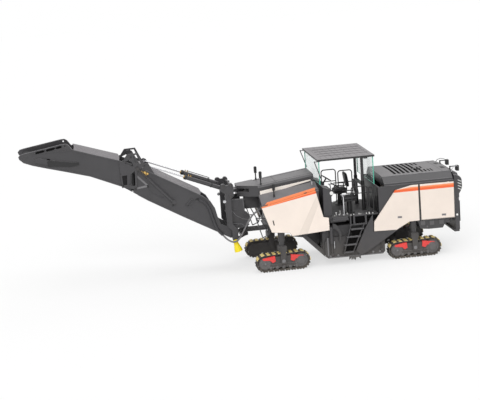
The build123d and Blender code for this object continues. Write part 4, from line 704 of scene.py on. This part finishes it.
# ---- discharge conveyor
PLATE_Y = 0.52
PLATE_SKIN = 0.5205
BRACKET_FACE = 0.5245
FLANGE_SKIN = 0.5325
REAR_TOP_EDGE = ((1.13, 2.33), (1.41, 2.55), (3.1, 3.522))
REAR_LOW_EDGE = ((0.56, 1.09), (0.96, 1.32), (2.02, 1.92), (3.09, 2.55), (3.4, 2.756))
FRONT_TOP_EDGE = ((3.93, 3.912), (5.31, 4.372), (5.42, 4.532), (5.5, 4.577), (5.62, 4.572),
                  (6.78, 4.387), (6.93, 4.352))
FRONT_LOW_EDGE = ((3.89, 3.078), (4.83, 3.488), (5.51, 3.688), (6.18, 3.878), (6.58, 3.998), (6.85, 4.108))
# lighter beads along the side plates' top and lower edges: painted highlights on the edges
for name, body, y, radius, edges in (
    ("rear_section_beads", "boom", PLATE_Y + 0.003, 0.009, (REAR_TOP_EDGE, REAR_LOW_EDGE)),
    ("front_section_beads", "boom_tip", PLATE_Y - 0.004, 0.008, (FRONT_TOP_EDGE, FRONT_LOW_EDGE)),
):
    tube_run(name, body, mirrored(*at_width(y, *edges)), radius, worn_and_highlight_grey)

# openings of the head's side plates: dark pads on the outer faces, painted shade for the openings' depth;
# liners on the inner ones
HEAD_SLOPE = (4.385 - 4.57) / (6.78 - 5.62)
slots = Shape("head_openings", "boom_tip", shade_black, "black_paint")
for start, length in ((5.63, 0.18), (5.85, 0.27), (6.18, 0.27)):
    outline = ((0.0, 0.018), (0.03, 0.0), (length - 0.03, 0.0), (length, 0.018), (length, 0.048),
               (length - 0.04, 0.066), (0.04, 0.066), (0.0, 0.048))
    slots.plates((PLATE_Y + 0.0125, PLATE_Y + 0.016),
                 [(start + u, 4.57 + HEAD_SLOPE * (start + u - 5.62) - 0.098 + v) for u, v in outline])
slots.plates((PLATE_Y + 0.028, PLATE_Y + 0.034), [(6.02, 4.115), (6.12, 4.135), (6.12, 4.165), (6.02, 4.145)])
Shape("head_liners", "boom_tip", dark, bevel=0.002).plates(
    (0.4795, 0.4725), [(5.6, 4.56), (6.5, 4.418), (6.5, 4.33), (5.6, 4.47)])
Shape("drive_recess", "boom_tip", black, "black_paint", bevel=0.003).plates(
    (PLATE_Y + 0.0305, PLATE_Y + 0.036), [(5.16, 3.96), (5.14, 3.89), (5.4, 3.852), (6.1, 3.925),
    (6.12, 4.075), (6.04, 4.11), (5.72, 4.045)])

# dark faces behind the hinge plates' windows, bolts and bosses
Shape("hinge_shade_front", "boom_tip", shadow_grey, "black_paint").plates(
    (PLATE_SKIN, BRACKET_FACE), [(3.67, 3.43), (3.87, 3.42), (3.85, 3.1), (3.69, 3.09)])
Shape("hinge_shade_rear", "boom", shadow_grey, "black_paint").plates(
    (PLATE_SKIN, BRACKET_FACE), [(3.42, 3.525), (3.54, 3.43), (3.57, 3.14), (3.49, 3.03), (3.44, 3.05)],
    [(3.515, 2.995), (3.605, 2.985), (3.605, 2.925), (3.515, 2.9)])
bolts = Shape("hinge_bolts", "boom_tip", black, "black_paint", bevel=0.001)
bolts.bosses(0.5725, boss(0.03, 0.03, 0.022, 0.006, 0.01), 6,
             (3.84, 3.1), (3.46, 2.985), (3.35, 3.6), (3.53, 3.98))
bolts.bosses(0.5605, stud(0.016, 0.008, 0.01), 6,
             (3.3, 4.06), (3.62, 4.05), (3.76, 3.88), (3.13, 3.69), (3.885, 3.48))
bolts = Shape("side_plate_bolts", "boom", black, "black_paint", bevel=0.001)
bolts.bosses(PLATE_SKIN, boss(0.034, 0.034, 0.024, 0.012, 0.016), 12,
             (3.06, 2.99), (2.32, 2.32), (1.56, 2.44), (1.84, 2.25))
bolts.bosses(FLANGE_SKIN, stud(0.01, 0.006, 0.006), 6,
    *((1.62 + d * 0.135, 2.655 + d * 0.0775) for d in range(11)))
ribs = Shape("side_plate_ribs", "boom", dark, bevel=0.003)
ribs.plates((PLATE_SKIN, 0.545), [(1.6, 2.425), (1.83, 2.215), (1.86, 2.235), (1.63, 2.45)],
            [(1.68, 2.47), (1.91, 2.265), (1.94, 2.285), (1.71, 2.495)])
ribs.plates((PLATE_SKIN, 0.535), [(2.62, 2.56), (3.0, 2.79), (3.0, 2.815), (2.61, 2.585)])

# fittings of the lift cylinders, and the brass blocks at the fold cylinders
LIFT_AXIS = Vector((2.32, 0, 0.96)).normalized()
LIFT_FOOT = Vector((0.74, 0, 2.7))
LIFT_Y = 0.442
LIFT_UP = LIFT_AXIS.cross(Vector((0, 1, 0)))
collars = Shape("lift_barrel_collars", "lift_barrel_body", black, "black_paint", smooth=40)
fittings = Shape("lift_barrel_fittings", "lift_barrel_body", brass, "tool_steel", smooth=40)
for sign in SIGNS:
    foot = LIFT_FOOT + Vector((0, sign * LIFT_Y, 0))
    collars.turned(foot + LIFT_AXIS * 1.17, LIFT_AXIS,
                   [(0, 0.068), (0.01, 0.078), (0.07, 0.078), (0.084, 0.07)], 20)
    collars.turned(foot + LIFT_AXIS * 0.32, LIFT_AXIS,
                   [(0, 0.068), (0.008, 0.074), (0.04, 0.074), (0.048, 0.068)], 20)
    for reach in (1.06, 1.13):
        fittings.turned(foot + LIFT_AXIS * reach + LIFT_UP * 0.064, LIFT_UP, [(0, 0.02), (0.022, 0.02),
            (0.024, 0.013), (0.05, 0.013), (0.052, TIP)], 10)
    fittings.turned(foot + LIFT_AXIS * 1.252, LIFT_AXIS, [(0, 0.052), (0.02, 0.052), (0.026, 0.036),
        (0.026, 0.027)], 16)
    collars.tube([foot + LIFT_AXIS * d + LIFT_UP * h
                  for d, h in ((0.3, 0.08), (0.36, 0.098), (1.02, 0.098), (1.08, 0.112))], 0.011, 8)
brass_blocks = Shape("fold_brass", "boom", brass, "tool_steel", bevel=0.001)
for x, z, r in ((3.05, 3.405, 0.036), (3.135, 3.445, 0.05), (3.225, 3.47, 0.036), (3.11, 3.372, 0.028)):
    brass_blocks.bosses(FLANGE_SKIN, [(0, r), (0.022, r), (0.026, r * 0.6), (0.034, r * 0.6), (0.034, TIP)],
        8, (x, z))

# struts and bolts of the fold's bracket; the struts' lighter grey is a painted highlight
struts = Shape("fold_struts", "boom", worn_and_highlight_grey, bevel=0.003)
strut_bolts = Shape("fold_strut_bolts", "boom", black, "black_paint")
tip_bolts = Shape("fold_tip_bolts", "boom_tip", black, "black_paint")
struts.plates((PLATE_SKIN, BRACKET_FACE), [(3.445, 3.44), (3.492, 3.44), (3.488, 2.95), (3.44, 2.935)],
    [(3.44, 2.935), (3.48, 2.985), (3.07, 3.05), (3.045, 2.985)], [(3.4, 3.42), (3.44, 3.37), (3.085, 3.005),
    (3.05, 3.045)])
strut_bolts.bosses(BRACKET_FACE, boss(0.03, 0.028, 0.018, 0.01, 0.014), 14, (3.446, 2.96), (3.058, 3.012))
tip_bolts.bosses(PLATE_SKIN, boss(0.03, 0.028, 0.018, 0.012, 0.016), 14, (3.85, 3.05))

# slewing frame and hopper
HOPPER_SKIN = 0.4325
ARM_SKIN = 0.6505
tube_run("hopper_ribs", "slew", mirrored(*at_width(
    HOPPER_SKIN, [(0.47, 1.96), (0.33, 1.77), (0.12, 1.64), (-0.07, 1.6)], [(0.06, 2.285), (0.47, 2.285)],
    [(0.08, 2.28), (0.06, 1.905)], [(0.47, 1.52), (0.16, 1.475), (0.06, 1.39)])), 0.009, worn_and_highlight_grey)
bolts = Shape("arm_bolts", "slew", steel_dark, "black_paint", bevel=0.001)
bolts.bosses(0.6645, boss(0.04, 0.038, 0.026, 0.012, 0.016), 16, (0.47, 2.79), (0.5, 2.44), (0.715, 2.775))
bolts.bosses(ARM_SKIN, stud(0.011, 0.007, 0.007), 6, *((0.64, z) for z in (1.6, 1.75, 1.9, 2.05, 2.2, 2.35)))
Shape("arm_discs", "slew", bright_steel, "tool_steel").bosses(
    ARM_SKIN, boss(0.05, 0.05, 0.03, 0.01, 0.014), 20, (0.7, 2.3))

# the yellow suction nozzle, with its ribs
NOZZLE_LOW, NOZZLE_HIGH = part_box("hanging_nozzle")
nozzle_x, nozzle_y = (NOZZLE_LOW[0] + NOZZLE_HIGH[0]) / 2, (NOZZLE_LOW[1] + NOZZLE_HIGH[1]) / 2
Shape("nozzle_shell", "slew", yellow, "yellow_plastic", replaces=["hanging_nozzle"], smooth=28).turned(
    (nozzle_x + 0.12, nozzle_y, NOZZLE_HIGH[2]), (-0.26, 0, -1), [(0.0, 0.03), (0.004, 0.066), (0.06, 0.074),
    (0.066, 0.062), (0.085, 0.062), (0.091, 0.077), (0.12, 0.08), (0.126, 0.068), (0.15, 0.068),
    (0.156, 0.084), (0.2, 0.092), (0.33, 0.122), (0.396, 0.13), (0.4, 0.114), (0.392, 0.066), (0.39, TIP)],
    28)

# ---- front body
FLAP_SKIN = 1.2412
Shape("front_stripe_rails", "root", orange_rail, "cream_paint", bevel=0.002).plates(
    (1.1955, 1.208), [(-0.47, 2.145), (-2.115, 2.4925), (-2.125, 2.585), (-0.56, 2.255)])
Shape("hood_side_strips", "root", lit_strip_cream, "cream_paint", bevel=0.002).plates(
    (0.6205, 0.626), [(-0.455, 2.52), (-0.455, 2.36), (-2.1, 2.7), (-2.1, 2.745)])
for side, sign in SIDES:
    # the front latch's opening in near black: painted shade
    Shape(f"front_latch_{side}", f"front_flap_body_{side}", shade_black, "black_paint", bevel=0.003).plate(
        [(-0.694, 1.662), (-0.726, 1.668), (-0.756, 1.512), (-0.724, 1.506)], (sign * FLAP_SKIN, sign * 1.25))
    for name, x, z in (("mid", -4.8, 1.36), ("rear", -6.25, 1.3)):
        latch = Shape(f"{name}_latch_{side}", f"{name}_flap_body_{side}", light_grey, "dark_paint",
            bevel=0.004)
        latch.plate([(x - 0.07, z - 0.03), (x + 0.07, z - 0.022), (x + 0.07, z + 0.038),
            (x - 0.07, z + 0.03)], (sign * FLAP_SKIN, sign * 1.245))
        latch.plate([(x - 0.045, z - 0.012), (x + 0.045, z - 0.006), (x + 0.045, z + 0.02),
            (x - 0.045, z + 0.014)], (sign * 1.244, sign * 1.254))

# gaskets: the dark rubber line along the upright and lower edges of each cream flap
GASKET_Y = 1.232
GASKETS = (
    ("front_flap_body", [(-0.372, 2.11), (-0.652, 1.284), (-1.222, 1.22), (-1.302, 1.106), (-2.494, 1.176)]),
    ("mid_flap_body", [(-5.436, 2.35), (-5.436, 1.23)]),
    ("rear_flap_body", [(-5.504, 2.35), (-5.504, 1.205), (-6.604, 1.19), (-6.604, 2.335)]),
)
for side, sign in SIDES:
    for body, line in GASKETS:
        tube_run(f"{body}_gasket_{side}", f"{body}_{side}", at_width(sign * GASKET_Y, line), 0.0085, black)

# seams, lifting eyes and stalks of the front body
tube_run("front_hood_seams", "root", [*mirrored([(-0.42, 0.4, 2.6815), (-1.3, 0.4, 2.7935),
    (-2.18, 0.4, 2.9055)], [(-0.43, 1.15, 2.152), (-1.3, 1.15, 2.3235), (-2.2, 1.15, 2.501)]),
    [(-1.0, -0.52, 2.754), (-1.0, 0.52, 2.754)]], 0.007, black)
tube_run("front_lifting_eyes", "root", mirrored(
    [(-2.08, 0.93, 2.62), (-2.08, 0.93, 2.72), (-2.08, 0.86, 2.735), (-2.08, 0.86, 2.65)]),
    0.016, bright_steel, "tool_steel")
sleeves = Shape("stalk_covers", "root", black, "black_paint", smooth=40)
for x, y, low, high in ((-0.52, 0.48, 2.7, 3.118), (-0.52, -0.48, 2.7, 3.118), (-0.85, 0.9, 2.375, 2.758)):
    sleeves.turned((x, y, low), (0, 0, 1), [(0, 0.03), (0.05, 0.028), (0.06, 0.021),
        (high - low - 0.22, 0.021)], 12)
    sleeves.turned((x, y, high - 0.212), (0, 0, 1),
                   [(0, 0.02), (0.01, 0.045), (0.19, 0.05), (0.212, 0.038), (0.212, TIP)], 14)

# ---- milling unit
EDGE_PLATE_Y = 1.13
EDGE_PLATE_SKIN = 1.1302
EDGE_TOOLS = 16
teeth = Shape("drum_edge_tools", "drum", tool_steel, "tool_steel", smooth=30)
for sign in SIGNS:
    for i in range(EDGE_TOOLS):
        turn = 2 * pi * i / EDGE_TOOLS
        way = Vector((cos(turn), 0, sin(turn)))
        centre = Vector((-3.34, sign * 0.955, 0.53))
        teeth.bar(centre + way * 0.392, centre + way * 0.452, 0.034, 8, 0.028)
        teeth.bar(centre + way * 0.45, centre + way * 0.487, 0.022, 8, 0.006)
for side, sign in SIDES:
    runner = Shape(f"edge_plate_runner_{side}", f"edge_{side}", worn_and_highlight_grey, bevel=0.003)
    for x in (-2.52, -2.76, -3.9, -4.12):
        runner.turned((x, sign * EDGE_PLATE_Y, 0.3), (0, sign, 0), boss(0.038, 0.036, 0.02, 0.016, 0.022), 12)
    runner.plate([(-2.44, 0.262), (-4.24, 0.248), (-4.24, 0.222), (-2.44, 0.236)],
                 (sign * EDGE_PLATE_SKIN, sign * 1.145))
    runner.plate([(-2.42, 0.9), (-2.47, 0.9), (-2.47, 0.3), (-2.42, 0.3)],
                 (sign * EDGE_PLATE_SKIN, sign * 1.142))
guides = Shape("unit_guide_rods", "root", bright_steel, "tool_steel", smooth=60)
for sign in SIGNS:
    guides.bar((-2.64, sign * 1.215, 0.56), (-2.64, sign * 1.215, 0.79), 0.012, 10)
guides.bosses(1.19, boss(0.03, 0.03, 0.02, 0.03, 0.036), 14, (-2.48, 1.25))

# ---- platform and steps
STEP_FACE = 1.2755
CLEATS = 7
treads = Shape("step_treads", "root", worn_and_highlight_grey, bevel=0.002)
for x0, x1, z in ((-3.61, -3.19, 1.13), (-3.49, -3.05, 0.89), (-3.35, -2.95, 0.64), (-3.24, -2.94, 0.4)):
    treads.boxes((x0, x1), (1.15, STEP_FACE), (z + 0.0004, z + 0.01))
    for i in range(CLEATS):
        x = x0 + (i + 0.5) * (x1 - x0) / CLEATS
        treads.boxes((x - 0.012, x + 0.012), (1.16, 1.268), (z + 0.009, z + 0.018))
# near-black boxes behind the steps and in the step box: painted shade in the recesses
backs = Shape("step_openings", "root", shade_black, "black_paint", bevel=0.002)
for x0, x1, z0, z1 in ((-3.57, -3.22, 0.925, 1.09), (-3.46, -3.08, 0.675, 0.85), (-3.32, -2.98, 0.43, 0.6)):
    backs.boxes((x0, x1), (1.1935, 1.1985), (z0, z1))
backs.boxes((-3.66, -3.24), (1.1765, 1.185), (1.3, 1.54))
bulkhead = Shape("bulkhead_louvres", "root", black, "black_paint", bevel=0.002)
bulkhead.box((-4.135, -4.128), (-1.06, 1.06), (1.57, 2.36))
for i in range(12):
    z = 1.64 + 0.058 * i
    bulkhead.box((-4.129, -4.116), (-0.9, 0.9), (z, z + 0.022))
frames = Shape("step_box_frames", "root", dark, bevel=0.006)
for x0, x1, z0, z1 in ((-3.72, -3.28, 1.535, 1.59), (-3.72, -3.28, 1.25, 1.3), (-3.72, -3.66, 1.3, 1.535),
        (-3.34, -3.28, 1.3, 1.535)):
    frames.boxes((x0, x1), (1.236, 1.262), (z0, z1))
frames.boxes((-3.14, -2.62), (1.178, 1.25), (1.44, 1.49))
frames.boxes((-3.12, -2.64), (1.178, 1.235), (1.49, 1.545))

# operator's consoles, switches and levers
PEDALS = ((-2.82, 0.9, 1.64, 0.03), (-2.9, 0.98, 1.6, 0.024), (-2.96, 0.86, 1.68, 0.02),
          (-3.16, 0.98, 1.61, 0.026), (-3.02, 1.06, 1.59, 0.018), (-2.74, 1.03, 1.58, 0.018))
BUTTON_ROW = (-3.24, -3.33, -3.5, -3.56, -3.74, -3.83, -3.95)
LEVER_X, LEVER_Y = -3.06, 0.96
panels = Shape("console_panels", "root", black, "black_paint", bevel=0.002)
lights = Shape("console_buttons", "root", lens, "cream_paint", smooth=40)
rods = Shape("platform_rods", "root", chrome, "rod_chrome", smooth=50)
panels.plates((0.44, 1.04), [(-2.645, 2.19), (-2.765, 2.335), (-2.755, 2.345), (-2.64, 2.455), (-2.63, 2.44),
    (-2.735, 2.335), (-2.635, 2.21)])
lights.bosses(1.0605, boss(0.058, 0.058, 0.042, 0.012, 0.016), 20, (-2.665, 2.32))
for sign in SIGNS:
    for i in range(5):
        lights.turned((-2.7, sign * (0.56 + 0.09 * i), 2.3), (-0.75, 0, 0.66),
                      [(-0.01, 0.018), (0.028, 0.018), (0.034, 0.01), (0.034, TIP)], 10)
    for x, y, z, r in PEDALS:
        height = z - PLATFORM_TOP
        lights.turned((x, sign * y, PLATFORM_TOP), (0.1, 0, 1), [(0, r * 0.5), (height - 0.02, r * 0.5),
            (height - 0.01, r), (height + 0.005, r * 0.9), (height + 0.01, TIP)], 10)
    for i, x in enumerate(BUTTON_ROW):
        rise = 0.012 * (i % 3)
        lights.turned((x, sign * 1.15, PLATFORM_TOP), (0, 0, 1),
                      [(0, 0.02), (0.022 + rise, 0.018), (0.03 + rise, TIP)], 10)
    rods.turned((LEVER_X, sign * LEVER_Y, PLATFORM_TOP), (0, 0, 1),
                [(0, 0.05), (0.012, 0.05), (0.02, 0.024), (0.06, 0.022)], 14)
for line in mirrored([(LEVER_X, LEVER_Y, PLATFORM_TOP), (LEVER_X, LEVER_Y, 2.13), (-3.04, LEVER_Y, 2.19)]):
    rods.tube(line, 0.019, 10)
for line in mirrored([(-3.13, LEVER_Y, 2.2), (-2.98, LEVER_Y, 2.215)]):
    rods.tube(line, 0.016, 8)

WHEEL_TILT = Vector((-0.55, 0, 0.83)).normalized()
WHEEL_RADIUS = 0.17
wheel = Shape("steering_wheels", "root", black, "black_paint", smooth=60)
for sign in SIGNS:
    centre = Vector((-2.88, sign * SEAT_Y, 2.48))
    across = Vector((0, 1, 0))
    up = WHEEL_TILT.cross(across)
    ring = circle(centre, across, up, WHEEL_RADIUS, 24)
    wheel.tube(ring + ring[:2], 0.014, 8)
    wheel.tube([centre + across * 0.165, centre - across * 0.165], 0.01, 8)
    wheel.tube([centre, centre - WHEEL_TILT * 0.2, centre - WHEEL_TILT * 0.24 + Vector((0.02, 0, -0.04))],
        0.026, 10)
tread_plate = Shape("platform_tread", "root", worn_and_highlight_grey)
for i in range(22):
    x = -2.42 - 0.072 * i
    for sign in SIGNS:
        for j in range(5):
            y = sign * (1.1 - 0.15 * j)
            under_seat = -3.6 < x < -3.0 and abs(y) < 0.93
            if not under_seat:
                tread_plate.box((x - 0.02, x + 0.008), (y - 0.045, y - 0.03), (1.5602, 1.565))

# ---- canopy
RIM_X = (-4.066, -2.254)
RIM_Y = 1.186
RIM_Z = 3.42
edges = Shape("canopy_glass_edges", "roof", pane_edge, "pane", bevel=0.001)
GLASS_LOW, GLASS_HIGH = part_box("canopy_glass")
for x, low in ((GLASS_HIGH[0] - 0.006, 2.64), (GLASS_LOW[0] + 0.006, 2.5)):
    y = GLASS_HIGH[1]
    edges.boxes((x - 0.015, x + 0.015), (y - 0.004, y + 0.006), (low, 3.388))
    edges.boxes((x - 0.008, x + 0.008), (y - 1.11, y), (low - 0.006, low + 0.004))
tube_run("roof_rim", "roof", mirrored([(RIM_X[0], RIM_Y, RIM_Z), (RIM_X[1], RIM_Y, RIM_Z)]) +
         [[(x, -RIM_Y, RIM_Z), (x, RIM_Y, RIM_Z)] for x in RIM_X], 0.026, black, "black_paint", 10)
tube_run("roof_seams", "roof",
    [[(x, -1.15, 3.45), (x, 1.15, 3.45)] for x in (-3.95 + 0.195 * i for i in range(9))], 0.0055, worn_and_highlight_grey)

# ---- rear body
# a near-black sheet under the louvre fins: painted shade inside the louvre
Shape("louvre_liner", "hood", shade_black, "black_paint").box((-6.15, -4.77), (-0.95, 0.78), (2.604, 2.61))
fins = Shape("louvre_fins", "hood", black, "black_paint")
for x in (-4.85, -5.0, -5.15, -5.3, -5.45, -5.6):
    fins.box((x - 0.004, x + 0.004), (-0.925, 0.695), (2.612, 2.655))
cap = Shape("hood_cap", "hood", black, "black_paint", bevel=0.002)
cap.turned((-5.72, 0.3, 2.668), (0, 0, 1),
           [(0, 0.085), (0.014, 0.085), (0.02, 0.066), (0.04, 0.062), (0.046, TIP)], 20)
cap.box((-5.67, -5.53), (0.08, 0.2), (2.672, 2.684))
HOOD_FRONT, HOOD_BACK = -4.352, -6.598
# lighter beads along the hood's edges: painted highlights
tube_run("hood_beads", "hood",
    [*mirrored(*([(HOOD_FRONT, *place), (HOOD_BACK, *place)] for place in ((1.17, 2.472), (0.96, 2.661),
    (1.192, 2.404)))), [(-6.35, -0.93, 2.662), (-6.35, 0.0, 2.68), (-6.35, 0.93, 2.662)]], 0.0075, worn_and_highlight_grey)
Shape("hood_hinge_pads", "hood", black, "black_paint", bevel=0.003).boxes(
    (-6.56, -6.44), (0.22, 0.48), (2.6655, 2.679))

# rear corners: pale slashes, painted highlights that stand in for the light in the corner's slots; lamps and
# their arms
slash_highlights = Shape("corner_slashes", "root", lens, "cream_paint", bevel=0.002)
for z in (2.03, 2.12, 2.21, 2.3):
    slash_highlights.plates((1.1655, 1.181),
                   [(-6.885, z + 0.004), (-6.765, z + 0.062), (-6.765, z + 0.084), (-6.885, z + 0.026)])
small = Shape("corner_lamps", "root", lens, "cream_paint", smooth=40)
small.bosses(1.1905, boss(0.034, 0.034, 0.024, 0.01, 0.016), 16, (-6.7, 1.25))
for sign in SIGNS:
    small.turned((-6.906, sign * 0.6, 2.645), (-1, 0, 0), [(-0.004, TIP), (-0.004, 0.05)], 16)
tube_run("lamp_arms", "root", mirrored([(-6.64, 0.9, 2.6), (-6.69, 0.87, 2.7), (-6.78, 0.79, 2.745),
    (-6.88, 0.7, 2.742), (-6.94, 0.63, 2.7)]), 0.011, bright_steel, "tool_steel")
LAMP_Y, LAMP_Z = 0.57, 2.645
heads = Shape("lamp_heads", "root", black, "black_paint", bevel=0.006)
glassy = Shape("lamp_lenses", "root", lens, "cream_paint", smooth=50)
for sign in SIGNS:
    y = sign * LAMP_Y
    heads.prism([[(x, y - w, LAMP_Z - h), (x, y + w, LAMP_Z - h), (x, y + w * 1.05, LAMP_Z),
        (x, y + w, LAMP_Z + h), (x, y - w, LAMP_Z + h),
        (x, y - w * 1.05, LAMP_Z)] for x, w, h in ((-6.888, 0.074, 0.078), (-6.905, 0.078, 0.085),
        (-6.96, 0.075, 0.082), (-6.986, 0.058, 0.062))])
    glassy.turned((-6.9865, y, LAMP_Z), (-1, 0, 0), [(0, 0.044), (0.004, 0.04), (0.006, TIP)], 18)

# rear face: grille bars, grab rails, tail lamps and a step
tube_run("rear_grille_bars", "root",
    [[(-6.903, -0.74, z), (-6.903, 0.74, z)] for z in (1.96 + 0.042 * i for i in range(9))], 0.009, black,
    "black_paint")
tube_run("rear_grab_rails", "root", mirrored([(-6.78, 0.98, 1.0), (-6.85, 0.98, 1.0), (-6.85, 0.98, 1.64),
    (-6.78, 0.98, 1.64)]), 0.016, black, "black_paint", 10)
Shape("tail_lamps", "root", red, "red_paint", bevel=0.006).boxes((-6.792, -6.78), (0.62, 0.86), (0.86, 0.96))
step = Shape("rear_fittings", "root", worn_and_highlight_grey, bevel=0.004)
step.box((-6.8, -6.762), (-0.42, 0.42), (0.79, 0.85))
for sign in SIGNS:
    step.turned((-6.7805, sign * 0.3, 1.45), (-1, 0, 0), boss(0.07, 0.07, 0.052, 0.01, 0.016), 20)

# covers on the trays under the rear body, bolts along the skirts
trays = Shape("tray_covers", "root", dark_mid, bevel=0.004)
for x, z in ((-5.56, 1.08), (-5.86, 1.06), (-6.18, 1.06)):
    trays.boxes((x - 0.075, x + 0.075), (1.1655, 1.175), (z - 0.07, z + 0.07))
trays.bosses(1.1655, [(0, 0.034), (0.02, 0.032), (0.02, TIP)], 14, (-5.7, 0.95))
Shape("skirt_bolts", "root", steel_dark, "black_paint").bosses(
    1.2355, stud(0.013, 0.007, 0.009), 6, (-3.88, 1.48), (-3.76, 1.18), (-3.62, 0.9), (-3.48, 0.62),
    (-3.4, 0.42), (-3.52, 0.3), (-3.76, 0.44), (-4.1, 0.64), (-4.4, 0.82))

for shape, look, more in SHAPES:
    shape.piece(*look, **more)


# ---- floor, light and camera
def flat_colour(name, colour, camera_share):
    """The floor: white to the camera, with the object's shadow kept in its diffuse share."""
    material, tree, shader, coords = new_material(name)
    tone = ramp(tree, noise(tree, coords, 0.4), 0.3, 0.7, (colour, scaled(colour, 1.01)))
    feed(tree, shader, {"Roughness": 0.9, "Base Color": tone})
    glow = add(tree, "Emission", {"Strength": camera_share})
    unlit = add(tree, "BsdfDiffuse", {"Color": (0, 0, 0)})
    dimmed = add(tree, "MixShader", {"Fac": camera_share, 1: shader.outputs[0], 2: unlit.outputs[0]})
    both = add(tree, "AddShader", {0: dimmed.outputs[0], 1: glow.outputs[0]})
    seen = add(tree, "LightPath").outputs["Is Camera Ray"]
    pick = add(tree, "MixShader", {"Fac": seen, 1: shader.outputs[0], 2: both.outputs[0]})
    feed(tree, find(tree, "OUTPUT_MATERIAL"), {"Surface": pick.outputs[0]})
    return material


FLOOR = 90
floor_mesh = bpy.data.meshes.new("floor")
floor_mesh.from_pydata([(-FLOOR, -FLOOR, 0), (FLOOR, -FLOOR, 0), (FLOOR, FLOOR, 0), (-FLOOR, FLOOR, 0)], [],
                       [(0, 1, 2, 3)])
floor = bpy.data.objects.new("floor", floor_mesh)
bpy.context.scene.collection.objects.link(floor)
floor_mesh.materials.append(flat_colour("pale_floor", (0.88, 0.88, 0.88), 0.62))

# the sky: plain white to the camera and through glass, dimmer as a light
WHITE = (1, 1, 1)
world = bpy.data.worlds.new("studio")
bpy.context.scene.world = world
world.use_nodes = True
sky = world.node_tree
sky.nodes.clear()
rays = add(sky, "LightPath").outputs
seen = math(sky, "MAXIMUM", rays["Is Camera Ray"], rays["Is Transmission Ray"])
dim, white = (add(sky, "Background",
    {"Color": WHITE, "Strength": strength}).outputs[0] for strength in (0.56, 1.0))
sky_mix = add(sky, "MixShader", {0: seen, 1: dim, 2: white})
add(sky, "OutputWorld", {"Surface": sky_mix.outputs[0]})

for name, strength, angle, way in (
    ("key_light", 1.25, 30, (0.35, 0.75, 0.55)),
    ("top_light", 0.95, 50, (-0.15, 0.1, 1.0)),
    ("rear_light", 0.45, 40, (-0.6, -0.5, 0.5)),
):
    lamp = bpy.data.lights.new(name, "SUN")
    lamp.energy = strength
    lamp.angle = radians(angle)
    lamp_object = bpy.data.objects.new(name, lamp)
    lamp_object.rotation_euler = Vector(way).to_track_quat("Z", "Y").to_euler()
    bpy.context.scene.collection.objects.link(lamp_object)

CAMERA_TARGET = Vector((0.11, 0.0, 2.17))
CAMERA_DISTANCE = 49.4
CAMERA_TURN = radians(8.23)
CAMERA_RISE = radians(11.55)
CAMERA_ROLL = radians(-3.96)
camera_data = bpy.data.cameras.new("camera")
camera_data.lens = 115.6
camera_data.sensor_width = 36.0
camera_data.clip_end = 300.0
camera = bpy.data.objects.new("camera", camera_data)
bpy.context.scene.collection.objects.link(camera)
back = Vector((sin(CAMERA_TURN) * cos(CAMERA_RISE), cos(CAMERA_TURN) * cos(CAMERA_RISE), sin(CAMERA_RISE)))
level_right = Vector((0, 0, 1)).cross(back).normalized()
level_up = back.cross(level_right)
right = level_right * cos(CAMERA_ROLL) + level_up * sin(CAMERA_ROLL)
up = level_up * cos(CAMERA_ROLL) - level_right * sin(CAMERA_ROLL)
camera.matrix_world = Matrix.Translation(CAMERA_TARGET + back * CAMERA_DISTANCE) @ Matrix(
    (right, up, back)).transposed().to_4x4()
bpy.context.scene.camera = camera
bpy.context.scene.view_settings.view_transform = "Standard"

bpy.context.view_layer.update()
